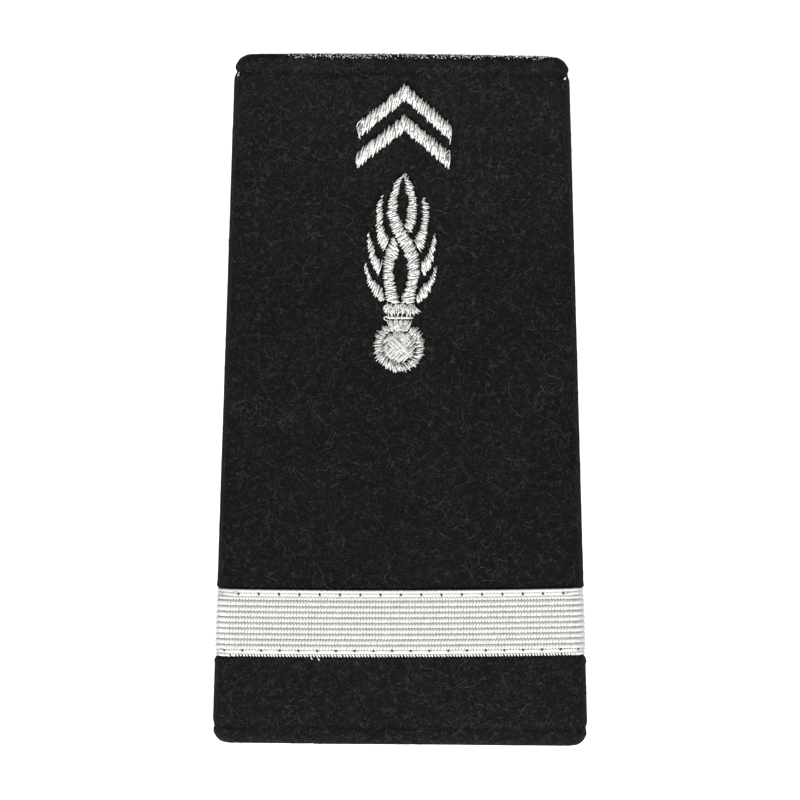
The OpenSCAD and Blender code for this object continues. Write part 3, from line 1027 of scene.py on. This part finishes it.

# %% [markdown]
# ## Loose fibres on the felt
#
# The face of the felt is brushed: short dark nap everywhere, and here and
# there a long curly fibre, a few of them light grey. They are all grown by the
# same tree with other sizes. Along the narrow end the nap stands up from the
# fold and catches the light; those fibres run from dark to near white, and
# the white is a painted highlight of that light.

# %% Grow nap and curly fibres
PER_MM2 = 1 / (MM * MM)
NAP = {
    "Shortest": 0.4 * MM, "Longest": 1.2 * MM, "Points": 4, "Curl Size": 0.8 * MM,
    "Curl": 0.9 * MM, "Lift": 0.03 * MM, "Arch": 0.08 * MM, "Thickness": 0.04 * MM,
    "Facing": 0.2,
}
CURLY = {
    "Shortest": 0.9 * MM, "Longest": 3.4 * MM, "Points": 8, "Curl Size": 1.8 * MM,
    "Curl": 3.0 * MM, "Lift": 0.06 * MM, "Arch": 0.16 * MM, "Thickness": 0.032 * MM,
    "Facing": 0.8,
}
FUZZ = {
    "Shortest": 0.10 * MM, "Longest": 0.35 * MM, "Points": 4, "Curl Size": 0.3 * MM,
    "Curl": 0.4 * MM, "Lift": 0.03 * MM, "Arch": 0.06 * MM, "Stand": 0.05 * MM,
    "Thickness": 0.12 * MM, "Patch Size": 1.6 * MM, "From X": -17 * MM,
    "From Y": narrow_edge(0) - 0.50 * MM, "From Z": face_z - 0.9 * MM, "Facing": -1.0,
}
FIBRES = {
    "sleeve_nap": (sleeve, NAP, 0.65, wool_fibre, 11),
    "sleeve_curls": (sleeve, CURLY, 0.36, wool_fibre, 12),
    "end_fuzz": (sleeve, FUZZ, 20.0, end_nap_painted_highlight, 13),
    "back_nap": (back, NAP, 0.30, wool_fibre, 14),
    "back_curls": (back, CURLY, 0.12, wool_fibre, 15),
}


def grow_fibres(name, felt, sizes, density, material, seed):
    source = show(name + "_source", felt.data.copy())
    sizes = {**sizes, "Density": density * PER_MM2, "Material": material, "Seed": seed}
    hand_over(grow(name, source, loose_fibres, sizes))


for name, settings in FIBRES.items():
    grow_fibres(name, *settings)

# %% [markdown]
# ## The braid
#
# The braid is a flat woven band with nine ribs. Each rib is a hidden cord that
# a yarn wraps in slanted loops, about 0.45 mm apart. Narrow flat strips run
# along both edges, where the running stitches hold the braid, and a looped
# cord closes each edge. A table gives each row its place across the braid and
# its sizes, and the sewn-stitches tree makes them all.

# %% Ground of the braid
GROUND_SINK = 0.17 * MM
GROUND_INSET = (0.42 * MM, 0.16 * MM)


def sunk(point, normal):
    """The point a little under the braid's surface, and inside its edges."""
    lower = point - normal * GROUND_SINK
    least = braid_low(lower.x) + GROUND_INSET[0]
    most = braid_high(lower.x) - GROUND_INSET[1]
    return Vector((lower.x, min(max(lower.y, least), most), lower.z))


ground_mesh = reshaped_copy("braid", sunk)
ground_mesh.materials.append(braid_shade)
hand_over(show("braid_ground", ground_mesh), "braid")
print("ground sunk by", GROUND_SINK / MM, "mm")

# %% [markdown]
# The needle holes in the two flat strips must meet: the strip's threads leave a
# gap there, the running stitch dives there, and a dark spot marks it. So each
# line is first cut to a whole number of stitches, with one of its holes at a
# place that was measured on the photograph.

# %% Cut a line to whole stitches
LEVEL = 0.99


def cut_to_pitch(line, pitch, hole_x, least_up=-1.0):
    """Cuts a line where it faces up enough, to whole pitches counted from hole_x."""
    points, outward = line
    steps = [(b - a).length for a, b in zip(points, points[1:])]
    travelled = np.concatenate([[0], np.cumsum(steps)])
    front = [i for i, o in enumerate(outward) if o.z > LEVEL]
    hole = np.interp(hole_x, [points[i].x for i in front], [travelled[i] for i in front])
    facing_up = [s for s, o in zip(travelled, outward) if o.z >= least_up]
    start = facing_up[0] + (hole - facing_up[0]) % pitch
    stop = start + pitch * math.floor((facing_up[-1] - start) / pitch)
    places = [start] + [s for s in travelled if start < s < stop] + [stop]

    def at(vectors_along):
        table = np.array([tuple(v) for v in vectors_along])
        return [Vector([np.interp(s, travelled, table[:, i]) for i in range(3)]) for s in places]

    return at(points), [o.normalized() for o in at(outward)]


SIDE_SWELL = 0.12 * MM


def braid_line(place):
    """A line round the braid at a distance in millimetres from its lower edge."""
    share = place * MM / (braid_high(0) - braid_low(0))
    points, ways = line_round(
        "braid", lambda x: braid_low(x) + share * (braid_high(x) - braid_low(x))
    )
    return [p + w * abs(w.x) * SIDE_SWELL for p, w in zip(points, ways)], ways


# %% [markdown]
# In the rows below, a length is in millimetres and the place is measured from
# the braid's lower edge. `shift` is how far a loop leans along the braid
# between its two ends. A loop is thick at one end and thin at the other, and
# `bias` tells which: 1 leaves dark ticks between the loops on the side of the
# narrow end, as in the photograph. The rows under the running stitches leave
# out the threads round each needle hole.

# %% Rows of the braid
HOLES = {"lower": (0.90, 2.77, -17.83), "upper": (9.18, 3.004, -17.95)}
RUNNING_RISE = {"lower": -0.11, "upper": -0.17}
HOLE_GAP = 0.19 * MM
RIBS = 9
RIB_STEP = 0.811
FIRST_RIB = 1.1 + RIB_STEP / 2
RIB = {
    "across": 0.82, "pitch": 0.448, "shift": 0.38, "rise": -0.15, "sink": 0.27, "thread": 0.39,
    "taper": 0.56, "bias": 1.0, "uneven": 0.06,
}
FLAT = {
    "across": 0.54, "pitch": 0.224, "shift": 0.06, "rise": -0.12, "sink": 0.25, "thread": 0.20,
    "taper": 0.3, "bias": 0.0, "uneven": 0.06,
}
ROWS = [{**RIB, "place": FIRST_RIB + i * RIB_STEP} for i in range(RIBS)]
ROWS += [
    {**RIB, "place": 0.26, "across": 0.46, "shift": -0.26, "rise": -0.14, "sink": 0.62,
     "thread": 0.31, "taper": 0.25, "bias": -1.0, "uneven": 0.12},
    {**FLAT, "place": 0.80, "holes": "lower"},
    {**RIB, "place": 8.66, "across": 0.42, "shift": 0.12, "rise": -0.12, "taper": 0.25},
    {**FLAT, "place": 9.20, "holes": "upper"},
    {**RIB, "place": 9.72, "across": 0.44, "pitch": 0.27, "shift": 0.10, "rise": -0.12,
     "sink": 0.62, "thread": 0.25, "uneven": 0.16},
]


def braid_row(name, row, seed):
    sizes = {
        "Pitch": row["pitch"] * MM, "Along": row["shift"] * MM, "Across": row["across"] * MM,
        "Rise": row["rise"] * MM, "Sink": row["sink"] * MM, "Thickness": row["thread"] * MM,
        "Squareness": 2.2, "Points": 7, "Sides": 5, "Seed": seed, "Taper Power": 0.7,
        "Taper": row["taper"], "Bias": row["bias"], "Unevenness": row["uneven"],
    }
    line = braid_line(row["place"])
    if "holes" in row:
        _, pitch, hole_x = HOLES[row["holes"]]
        line = cut_to_pitch(line, pitch * MM, hole_x * MM)
        sizes.update({"Gap Pitch": pitch * MM, "Gap": HOLE_GAP})
    sew(name, [line], sizes, braid_yarn)


for number, row in enumerate(ROWS):
    braid_row(f"braid_row_{number + 1:02d}", row, number)

# %% [markdown]
# The running stitches lie on the flat strips between the needle holes, which
# are 3 mm apart on the upper strip and 2.8 mm on the lower one. Each hole
# shows the black felt under the braid as a small dark spot. Round the sides the
# holes close, so the spots are only made where the braid faces up.

# %% Running stitches and needle holes
RUNNING = {
    "Across": 0.10 * MM, "Sink": 0.30 * MM, "Squareness": 6.0, "Points": 10,
    "Thickness": 0.16 * MM, "Twist": 9000.0, "Flatness": 1.3,
}
SPOT = {
    "Along": -0.08 * MM, "Across": 0.22 * MM, "Rise": -0.04 * MM, "Sink": 0.10 * MM,
    "Squareness": 2.0, "Points": 4, "Thickness": 0.28 * MM, "Unevenness": 0.0,
}
ROUNDING = 0.9999
LEAST_UP = 0.4
HOLE_WIDTH = 0.6
for name, (place, pitch, hole_x) in HOLES.items():
    line = braid_line(place)
    even = pitch * ROUNDING * MM
    between = cut_to_pitch(line, pitch * MM, (hole_x + pitch / 2) * MM)
    stitch = {**RUNNING, "Pitch": even, "Along": (pitch - HOLE_WIDTH) * MM}
    stitch["Rise"] = RUNNING_RISE[name] * MM
    sew(f"running_stitches_{name}", [between], stitch, braid_yarn)
    marks = cut_to_pitch(line, pitch * MM, hole_x * MM, LEAST_UP)
    sew(f"needle_holes_{name}", [marks], {**SPOT, "Pitch": even}, black_thread)

# %% [markdown]
# ## The embroidery
#
# Satin stitch fills a narrow field with threads that run from edge to edge,
# side by side. The slant of the threads is what gives each flame its look, so
# it is a short table for each field: the share of the field's length, and the
# angle of the threads there. The fields themselves are the CAD solids, and
# each thread is laid over the solid's crown and dives into the cloth.
#
# Places are given in two ways. A pixel of the photograph is a place on the
# face, and the embroidery's own frame, which leans a little, counts millimetres
# from the centre of the ball.

# %% Places in the embroidery


def at_pixel(x, y):
    """The place on the face that is seen at a pixel of the photograph."""
    across = (x - ORIGIN_PIXEL[0]) * PIXEL
    along = (ORIGIN_PIXEL[1] - y) * PIXEL
    return across * heading(PHOTO_LEAN) + along * heading(PHOTO_LEAN + math.pi / 2)


def top_at(place):
    """The highest point of the CAD model over a level place."""
    hits = [hit for surface in surfaces.values() if (hit := seen(surface, place)) is not None]
    return max(hits, key=lambda hit: hit.z)


ball = (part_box("ball_fill")[0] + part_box("ball_fill")[1]) / 2
EMBROIDERY_LEAN = math.radians(-1.25)
ALONG = heading(EMBROIDERY_LEAN + math.pi / 2)
ACROSS = heading(EMBROIDERY_LEAN)


def stitched_at(x, y):
    """A place in the embroidery's own leaned frame, in millimetres from the ball's centre."""
    centre = Vector((ball.x, ball.y, 0))
    return centre + ACROSS * (x * MM) + ALONG * (y * MM)


print("ball centre in mm:", round(ball.x / MM, 2), round(ball.y / MM, 2))

# %% [markdown]
# A machine never hits the same edge twice, so each end runs a little over or
# falls a little short. An end that meets bare cloth dives into it, and one that
# meets a neighbouring field sinks between that field's threads.
#
# In a few places the photograph shows a dark hole in the middle of a field.
# There the threads dive to the cloth and come up again behind it.

# %% Lay one thread
root_z = face_z - 0.03 * MM
STATION = 0.2 * MM
TUCK = 0.10 * MM
END_SINK = 0.16 * MM
OVERRUN = (-0.26 * MM, 0.26 * MM)
SHORTEST_THREAD = 0.25 * MM
HOLE_PIXELS = [
    (360.0, 124.6), (360.0, 127.2), (360.2, 129.8), (447.8, 153.8), (447.9, 156.3), (448.0, 158.6),
    (389.2, 347.3), (408.7, 347.6), (415.8, 350.5), (415.3, 340.5), (392.0, 334.9),
    (386.4, 336.6), (404.5, 332.4), (394.9, 364.3), (379.8, 352.0), (403.5, 365.0),
]
HOLE_REACH = 0.25 * MM
HOLE_DEPTH = 0.75 * MM
holes = [at_pixel(*pixel) for pixel in HOLE_PIXELS]


def dive(place):
    """How far a thread dips at a place, because a hole is near."""
    near = any(math.hypot(place.x - h.x, place.y - h.y) < HOLE_REACH for h in holes)
    return HOLE_DEPTH if near else 0.0


def lay(surface, middle, angle, layer, part=(0, 1), overrun=OVERRUN):
    """A thread over part of a field, through a place of it at an angle in degrees, or None."""
    way = bearing(angle)
    behind, ahead = reach(surface, middle, -way), reach(surface, middle, way)
    ends = [np.interp(share, (0, 1), (-behind, ahead)) for share in part]
    ends[0] -= draw.uniform(*overrun)
    ends[1] += draw.uniform(*overrun)
    if ends[1] - ends[0] < SHORTEST_THREAD:
        return None
    height = draw.uniform(*layer)
    first, last = max(ends[0] + TUCK, TUCK - behind), min(ends[1] - TUCK, ahead - TUCK)
    points = []
    for distance in list(np.arange(first, last, STATION)) + [last]:
        crown = seen(surface, middle + way * distance)
        if crown is not None:
            points.append(crown + UP * (height - dive(crown)))
    if len(points) < 2:
        return None
    tails = [middle + way * end for end in ends]
    for tail in tails:
        tail.z = max(root_z, top_at(tail).z - END_SINK)
    return [tails[0], *points, tails[1]]


print("holes:", len(holes))

# %% [markdown]
# The machine passes over a field more than once. A full thread lies low, and two
# shorter ones that start inside the field lie on it, each at a slant of its own.

# %% A full thread and shorter ones over it
LOW_LAYER = (-0.22 * MM, -0.10 * MM)
TOP_LAYER = (-0.06 * MM, 0.14 * MM)
TOP_SHARES = ((0.30, 0.65), (0.16, 0.36))
SLANT = 9
TOP_SLANT = 1.4 * SLANT
ASIDE = 0.16


def some_part(low, high):
    """A random part of a thread's way: where it starts and stops, as shares of the way."""
    share = draw.uniform(low, high)
    start = draw.uniform(0, 1 - share)
    return start, start + share


def passes(surface, middle, angle, overrun=OVERRUN, tops=TOP_SHARES):
    """A full thread and shorter ones over it, each a little off the angle."""
    slant = angle + draw.uniform(-SLANT, SLANT)
    threads = [lay(surface, middle, slant, LOW_LAYER, overrun=overrun)]
    for shares in tops:
        aside = bearing(angle + 90) * draw.uniform(-ASIDE, ASIDE) * MM
        part = some_part(*shares)
        slant = angle + draw.uniform(-TOP_SLANT, TOP_SLANT)
        threads.append(lay(surface, middle + aside, slant, TOP_LAYER, part, overrun))
    return [thread for thread in threads if thread]


print("threads in a pass:", 1 + len(TOP_SHARES))

# %% [markdown]
# The slants were read off the photograph. An angle of 0 is level, and a positive
# one rises to the right. The share goes from the root of a flame to its tip, and
# along a chevron from left to right.

# %% Slants of the satin threads
SATIN = {
    "chevron_upper": ("x", [(0, 79), (1, 81)]),
    "chevron_lower": ("x", [(0, 79), (1, 81)]),
    "strand_over": ("y", [
        (0, 5), (0.07, 20), (0.13, 25), (0.21, 6), (0.29, 28), (0.39, 45), (0.54, 40),
        (0.61, 30), (0.66, 12), (0.75, 24), (0.89, 28), (1, 34)]),
    "strand_under_low": ("y", [
        (0, 3), (0.25, 8), (0.42, 2), (0.57, -8), (0.68, -15), (0.77, -26), (0.85, -42), (1, -48)]),
    "strand_under_top": ("y", [
        (0, -48), (0.2, -35), (0.34, -20), (0.42, 0), (0.5, 11), (0.62, -3), (0.78, -12),
        (0.9, -22), (1, -34)]),
    "flame_left_top": ("y", [(0, 62), (0.3, 54), (0.53, 42), (0.75, 30), (0.9, 34), (1, 45)]),
    "flame_left_mid": ("y", [(0, 69), (0.47, 62), (1, 56)]),
    "flame_left_low": ("y", [(0, 66), (0.26, 72), (0.41, 67), (0.6, 58), (1, 66)]),
    "flame_right_top": ("y", [(0, -45), (0.33, -30), (0.47, -12), (0.6, -2), (0.86, -20), (1, 35)]),
    "flame_right_mid": ("y", [(0, -76), (0.43, -68), (0.68, -60), (1, -52)]),
    "flame_right_low": ("y", [(0, -80), (0.34, -77), (0.64, -64), (0.85, -58), (1, 60)]),
}
print("fields with slants:", len(SATIN))

# %% [markdown]
# A field is walked from its root to its tip in small steps. At each step its
# middle is found, and a new thread is laid when the distance from the last
# one, measured across the threads, has reached the pitch.

# %% Fill a field with satin stitch
THREAD_PITCH = 0.31
ROW_STEP = 0.03
PROBE_STEP = 0.06
FLAME_OVERRUN = (-0.26 * MM, 0.14 * MM)


def to_stitched(point):
    offset = Vector((point.x - ball.x, point.y - ball.y, 0))
    return offset.dot(ACROSS) / MM, offset.dot(ALONG) / MM


def middle_of_row(surface, axis, place, low, high):
    """The middle of a field on the line across it at a place along its axis."""
    steps = np.arange(low, high, PROBE_STEP)
    spots = [stitched_at(place, s) if axis == "x" else stitched_at(s, place) for s in steps]
    inside = [spot for spot in spots if seen(surface, spot) is not None]
    return (inside[0] + inside[-1]) / 2 if inside else None


def satin(node, axis, slants):
    surface = surfaces[node]
    corners = np.array([to_stitched(v.co) for v in cad_nodes[node].data.vertices])
    main, side = (0, 1) if axis == "x" else (1, 0)
    start, end = corners[:, main].min(), corners[:, main].max()
    low, high = corners[:, side].min(), corners[:, side].max()
    shares, angles = zip(*slants)
    overrun = OVERRUN if axis == "x" else FLAME_OVERRUN
    threads, gone, last = [], THREAD_PITCH, None
    for place in np.arange(start + ROW_STEP, end, ROW_STEP):
        middle = middle_of_row(surface, axis, place, low, high)
        if middle is None:
            continue
        angle = float(np.interp((place - start) / (end - start), shares, angles))
        if last is not None:
            moved = middle - last
            way = bearing(angle)
            gone += abs(moved.x * way.y - moved.y * way.x) / MM
        last = middle
        if gone >= THREAD_PITCH:
            gone = 0.0
            threads += passes(surface, middle, angle, overrun)
    return threads


fields = {node: satin(node, axis, slants) for node, (axis, slants) in SATIN.items()}
print("satin threads:", {node: len(threads) for node, threads in fields.items()})

# %% [markdown]
# The ball is stitched in three ways: a rim of radial threads, a filling of
# threads that cross in an X, and a neck whose threads fan out like the rim's.

# %% Rim, neck and filling of the ball
RIM_TOPS = ((0.25, 0.6), (0.2, 0.45))
FAN_SLANT = 13
FAN_JITTER = 0.3
# A fan's radius, first and last angle, pitch, swirl and overrun.
FANS = {
    "ball_rim": (3.1, 90, 450, 0.34, 15, (-0.40 * MM, 0.30 * MM)),
    "neck": (3.3, 55, 125, 0.22, 0, OVERRUN),
}
FILL_PITCH = 0.18
FILL_RADIUS = 2.3
FILL_OVERRUN = (0.05 * MM, 0.45 * MM)
FILL_LAYER = (-0.24 * MM, -0.16 * MM)
FILL_JITTER = 0.05
CROSS_LAYER = (-0.14 * MM, -0.04 * MM)
CROSS_SHARES = (0.15, 0.45)


def fan(node, radius, first, last, pitch, swirl, overrun):
    """Radial threads about the ball's centre, between two angles in degrees."""
    step = math.degrees(pitch / radius)
    threads = []
    for angle in np.arange(first, last, step):
        angle += draw.uniform(-FAN_JITTER, FAN_JITTER) * step
        turn = math.radians(angle)
        place = stitched_at(radius * math.cos(turn), radius * math.sin(turn))
        if seen(surfaces[node], place) is not None:
            slant = angle + swirl + draw.uniform(-FAN_SLANT, FAN_SLANT)
            threads += passes(surfaces[node], place, slant, overrun, RIM_TOPS)
    return threads


def crossing(node, offsets, angle, layer, shares, overrun=OVERRUN):
    """Threads at one angle over a round field, at distances in millimetres from its centre."""
    across = bearing(angle + 90)
    threads = []
    for offset in offsets:
        beside = offset + draw.uniform(-FILL_JITTER, FILL_JITTER)
        place = stitched_at(0, 0) + across * (beside * MM)
        if seen(surfaces[node], place) is not None:
            part = some_part(*shares)
            slant = angle + draw.uniform(-SLANT, SLANT)
            threads.append(lay(surfaces[node], place, slant, layer, part, overrun))
    return [thread for thread in threads if thread]


fill_offsets = np.arange(-FILL_RADIUS, FILL_RADIUS, FILL_PITCH)
for node, numbers in FANS.items():
    fields[node] = fan(node, *numbers)
fields["ball_fill"] = crossing("ball_fill", fill_offsets, 47, FILL_LAYER, (1, 1), FILL_OVERRUN)
for angle in (-45, 44):
    fields["ball_fill"] += crossing("ball_fill", fill_offsets, angle, CROSS_LAYER, CROSS_SHARES)
print("ball rim:", len(fields["ball_rim"]), "ball fill:", len(fields["ball_fill"]))

# %% [markdown]
# Above the neck lie a cord of level threads and a collar of short lumpy ones,
# which stand steeply side by side.

# %% Cord and collar
CORD_YS = (4.0, 4.12, 4.24)
COLLAR_XS = (-2.6, 3.0, 0.26)


def level_rows(node, rows):
    """Long threads across a field at heights in millimetres from the ball's centre."""
    threads = [lay(surfaces[node], stitched_at(0, y), draw.uniform(-2, 1), LOW_LAYER) for y in rows]
    return [thread for thread in threads if thread]


def jumble(node, low, high, slants):
    """Short steep threads side by side, each at a slant of its own."""
    threads = []
    for x in np.arange(*COLLAR_XS):
        place = stitched_at(x, draw.uniform(low, high))
        if seen(surfaces[node], place) is not None:
            threads += passes(surfaces[node], place, draw.uniform(*slants))
    return threads


fields["neck_cord"] = level_rows("neck_cord", CORD_YS)
fields["collar"] = jumble("collar", 5.2, 5.9, (50, 115))
print("cord:", len(fields["neck_cord"]), "collar:", len(fields["collar"]))

# %% [markdown]
# Some threads follow no rule: the machine tied off, a loop stood up, a thread
# jumped from one field to the next. They give the hand-made look, so they are
# drawn one by one, through points in pixels of the photograph.

# %% Threads that are drawn one by one
DRAWN = {
    "chevron_ends": [
        [(451.0, 127.5), (451.4, 132), (450.6, 139), (449.6, 145.3)],
        [(362.5, 119.5), (358.5, 122.5), (357, 127), (358.6, 133.5), (360.5, 139.6)],
        [(444, 153.5), (447, 152), (449.3, 150.5), (449.9, 157), (449.3, 164.2), (447.5, 169.1)],
        [(358, 153), (356.4, 158), (356, 166)],
    ],
    "flame_roots": [
        [(382.6, 258.4), (380.6, 267), (377.4, 276.7)], [(378.5, 259.5), (377.5, 264), (375.7, 269.9)],
        [(387.7, 240.6), (385.6, 246), (382.6, 251.5)], [(414.5, 240), (418, 247), (421.5, 252.5)],
        [(416.5, 296), (417.3, 302)],
    ],
    "flame_tip": [
        [(402.2, 178.2), (404.2, 175), (405.6, 172.6)], [(404.6, 180.5), (405.6, 176), (407.6, 172.8)],
        [(407.0, 181.5), (408.0, 178), (408.9, 175.2)], [(403.4, 176.4), (406.0, 177.6), (408.4, 178.8)],
    ],
    "side_knots": [
        [(237.4, 71.4), (238.8, 72.4), (238.2, 74.2), (237.2, 73.0)],
        [(237.2, 76.0), (238.0, 75.2), (238.6, 73.8)],
        [(565.2, 75.6), (566.0, 77.0), (565.0, 78.4), (566.2, 80.0)],
        [(238.4, 71.2), (239.4, 72.8), (238.4, 74.2), (239.2, 75.4)],
        [(564.2, 76.0), (565.2, 77.2), (564.0, 78.8), (565.0, 79.8)],
    ],
    "ball_cross": [
        [(388.5, 335.4), (398.5, 344.6), (411.5, 357.4)], [(389.8, 334), (400, 343.2), (413, 355)],
        [(391.5, 336.8), (401, 345), (408, 352)], [(387.6, 338), (394, 344), (400.5, 349.8)],
        [(399.5, 346.5), (406.5, 338), (414, 327.6)], [(396, 348), (392.5, 352.5), (389.5, 355.5)],
        [(402, 341), (406, 335.8), (409.6, 331.2)],
    ],
    "neck_cord": [
        [(388.4, 320.6), (385.3, 320), (384, 318), (386, 316.4), (389.5, 317.4)],
    ],
    "collar_curls": [
        [(388.3, 309), (390, 307.4), (393, 307.8), (394, 310.4), (392.4, 313), (389.5, 312.8),
         (388.3, 310.6), (389.6, 309.2), (391.6, 309.8)],
        [(413.5, 306.5), (417.4, 309.4), (420.9, 312.4)], [(414.5, 309), (418, 311.5), (420.6, 310.2)],
        [(413.0, 310), (416.4, 312.4), (418.8, 314)], [(383, 310.6), (384.5, 307.6), (387, 305.2)],
        [(382.8, 307.8), (385.2, 305.6), (388.4, 304.6)], [(384.4, 312), (386.4, 309), (387.6, 306)],
        [(396, 312.8), (397.4, 307), (401.5, 303.8)],
        [(402, 313.4), (403.2, 308), (407, 304.5)], [(408.5, 313.6), (409.4, 309), (413, 305.6)],
        [(392, 303), (397.5, 301.6), (402, 303.6)], [(388, 312.6), (388.8, 317)],
        [(392.6, 313), (391.8, 317.4)], [(397.2, 313.4), (398, 317.6)], [(402.4, 313), (401.8, 317.2)],
        [(406.4, 313.4), (407, 317.4)], [(410.8, 312.6), (410, 316.8)],
    ],
    "braid_tufts": [
        [(310.8, 656.6), (312.2, 659.2), (313.6, 657)], [(317.6, 656.8), (319.4, 660.4), (321, 657.4)],
    ],
}
DRAWN_LAYER = (0.10 * MM, 0.20 * MM)
DRAWN_SINK = 0.25 * MM


def drawn_thread(pixels):
    height = UP * draw.uniform(*DRAWN_LAYER)
    points = [top_at(at_pixel(*pixel)) + height for pixel in pixels]
    for end in (0, -1):
        points[end] = points[end] - UP * DRAWN_SINK
    return points


drawn = [drawn_thread(pixels) for group in DRAWN.values() for pixels in group]
print("drawn threads:", len(drawn))

# %% [markdown]
# Under the satin lies the padding: plain stitches that lift it. Only a dark
# glimpse of it shows between the threads, so it is the CAD fields themselves,
# lowered and drawn in a little, in a duller, grey thread: its grey is painted
# shade in the gaps between the satin threads.

# %% Padding and threads
PAD_KEEP = 0.60
PAD_INSET = 0.22 * MM
# A grey far below the satin's white: painted shade between the threads.
padding_painted_shade = yarn_material("padding_painted_shade", (0.30, 0.30, 0.29), (0.8, 0.1), contrast=0.5)
# The ball's filling: a duller copy of the silver thread, a little darker as painted shade under the threads
# that cross it.
dull_fill_painted_shade = yarn_material(
    "dull_fill_painted_shade", (0.95, 0.96, 0.92), (0.5, 0.5), tone_spread=0.22, contrast=0.06, glints=0.32
)
SATIN_SIZES = {"Thickness": 0.21 * MM, "Sides": 5, "Material": silver_thread}
CHANGES = {
    "ball_fill": {"Thickness": 0.16 * MM, "Material": dull_fill_painted_shade},
    "ball_rim": {"Thickness": 0.16 * MM}, "neck": {"Thickness": 0.15 * MM},
    "neck_cord": {"Thickness": 0.15 * MM}, "collar": {"Thickness": 0.15 * MM},
}


def padding(nodes):
    joined = bmesh.new()
    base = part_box(nodes[0])[0].z

    def lowered(point, normal):
        height = base + (point.z - base) * PAD_KEEP
        return Vector((point.x - normal.x * PAD_INSET, point.y - normal.y * PAD_INSET, height))

    for node in nodes:
        joined.from_mesh(reshaped_copy(node, lowered))
    mesh = bpy.data.meshes.new("satin_padding")
    joined.to_mesh(mesh)
    joined.free()
    mesh.materials.append(padding_painted_shade)
    hand_over(show("satin_padding", mesh))
    print("padding under", len(nodes), "fields")


def stitch_down(name, threads, seed, node=None, **changes):
    sizes = {**SATIN_SIZES, "Seed": seed, **changes}
    hand_over(grow(name, guide(name + "_guide", threads), laid_threads, sizes), node)


padding(list(fields))
for number, (node, threads) in enumerate(fields.items()):
    stitch_down(node + "_satin", threads, number, node, **CHANGES.get(node, {}))
stitch_down("drawn_threads", drawn, 50, Thickness=0.16 * MM, Flatness=1.15)

# %% [markdown]
# ## Tidy up
#
# The guides of the seams are no pieces of the object, so they go.

# %% Remove the guides
for helper in (front_guide, back_guide):
    bpy.data.objects.remove(helper)
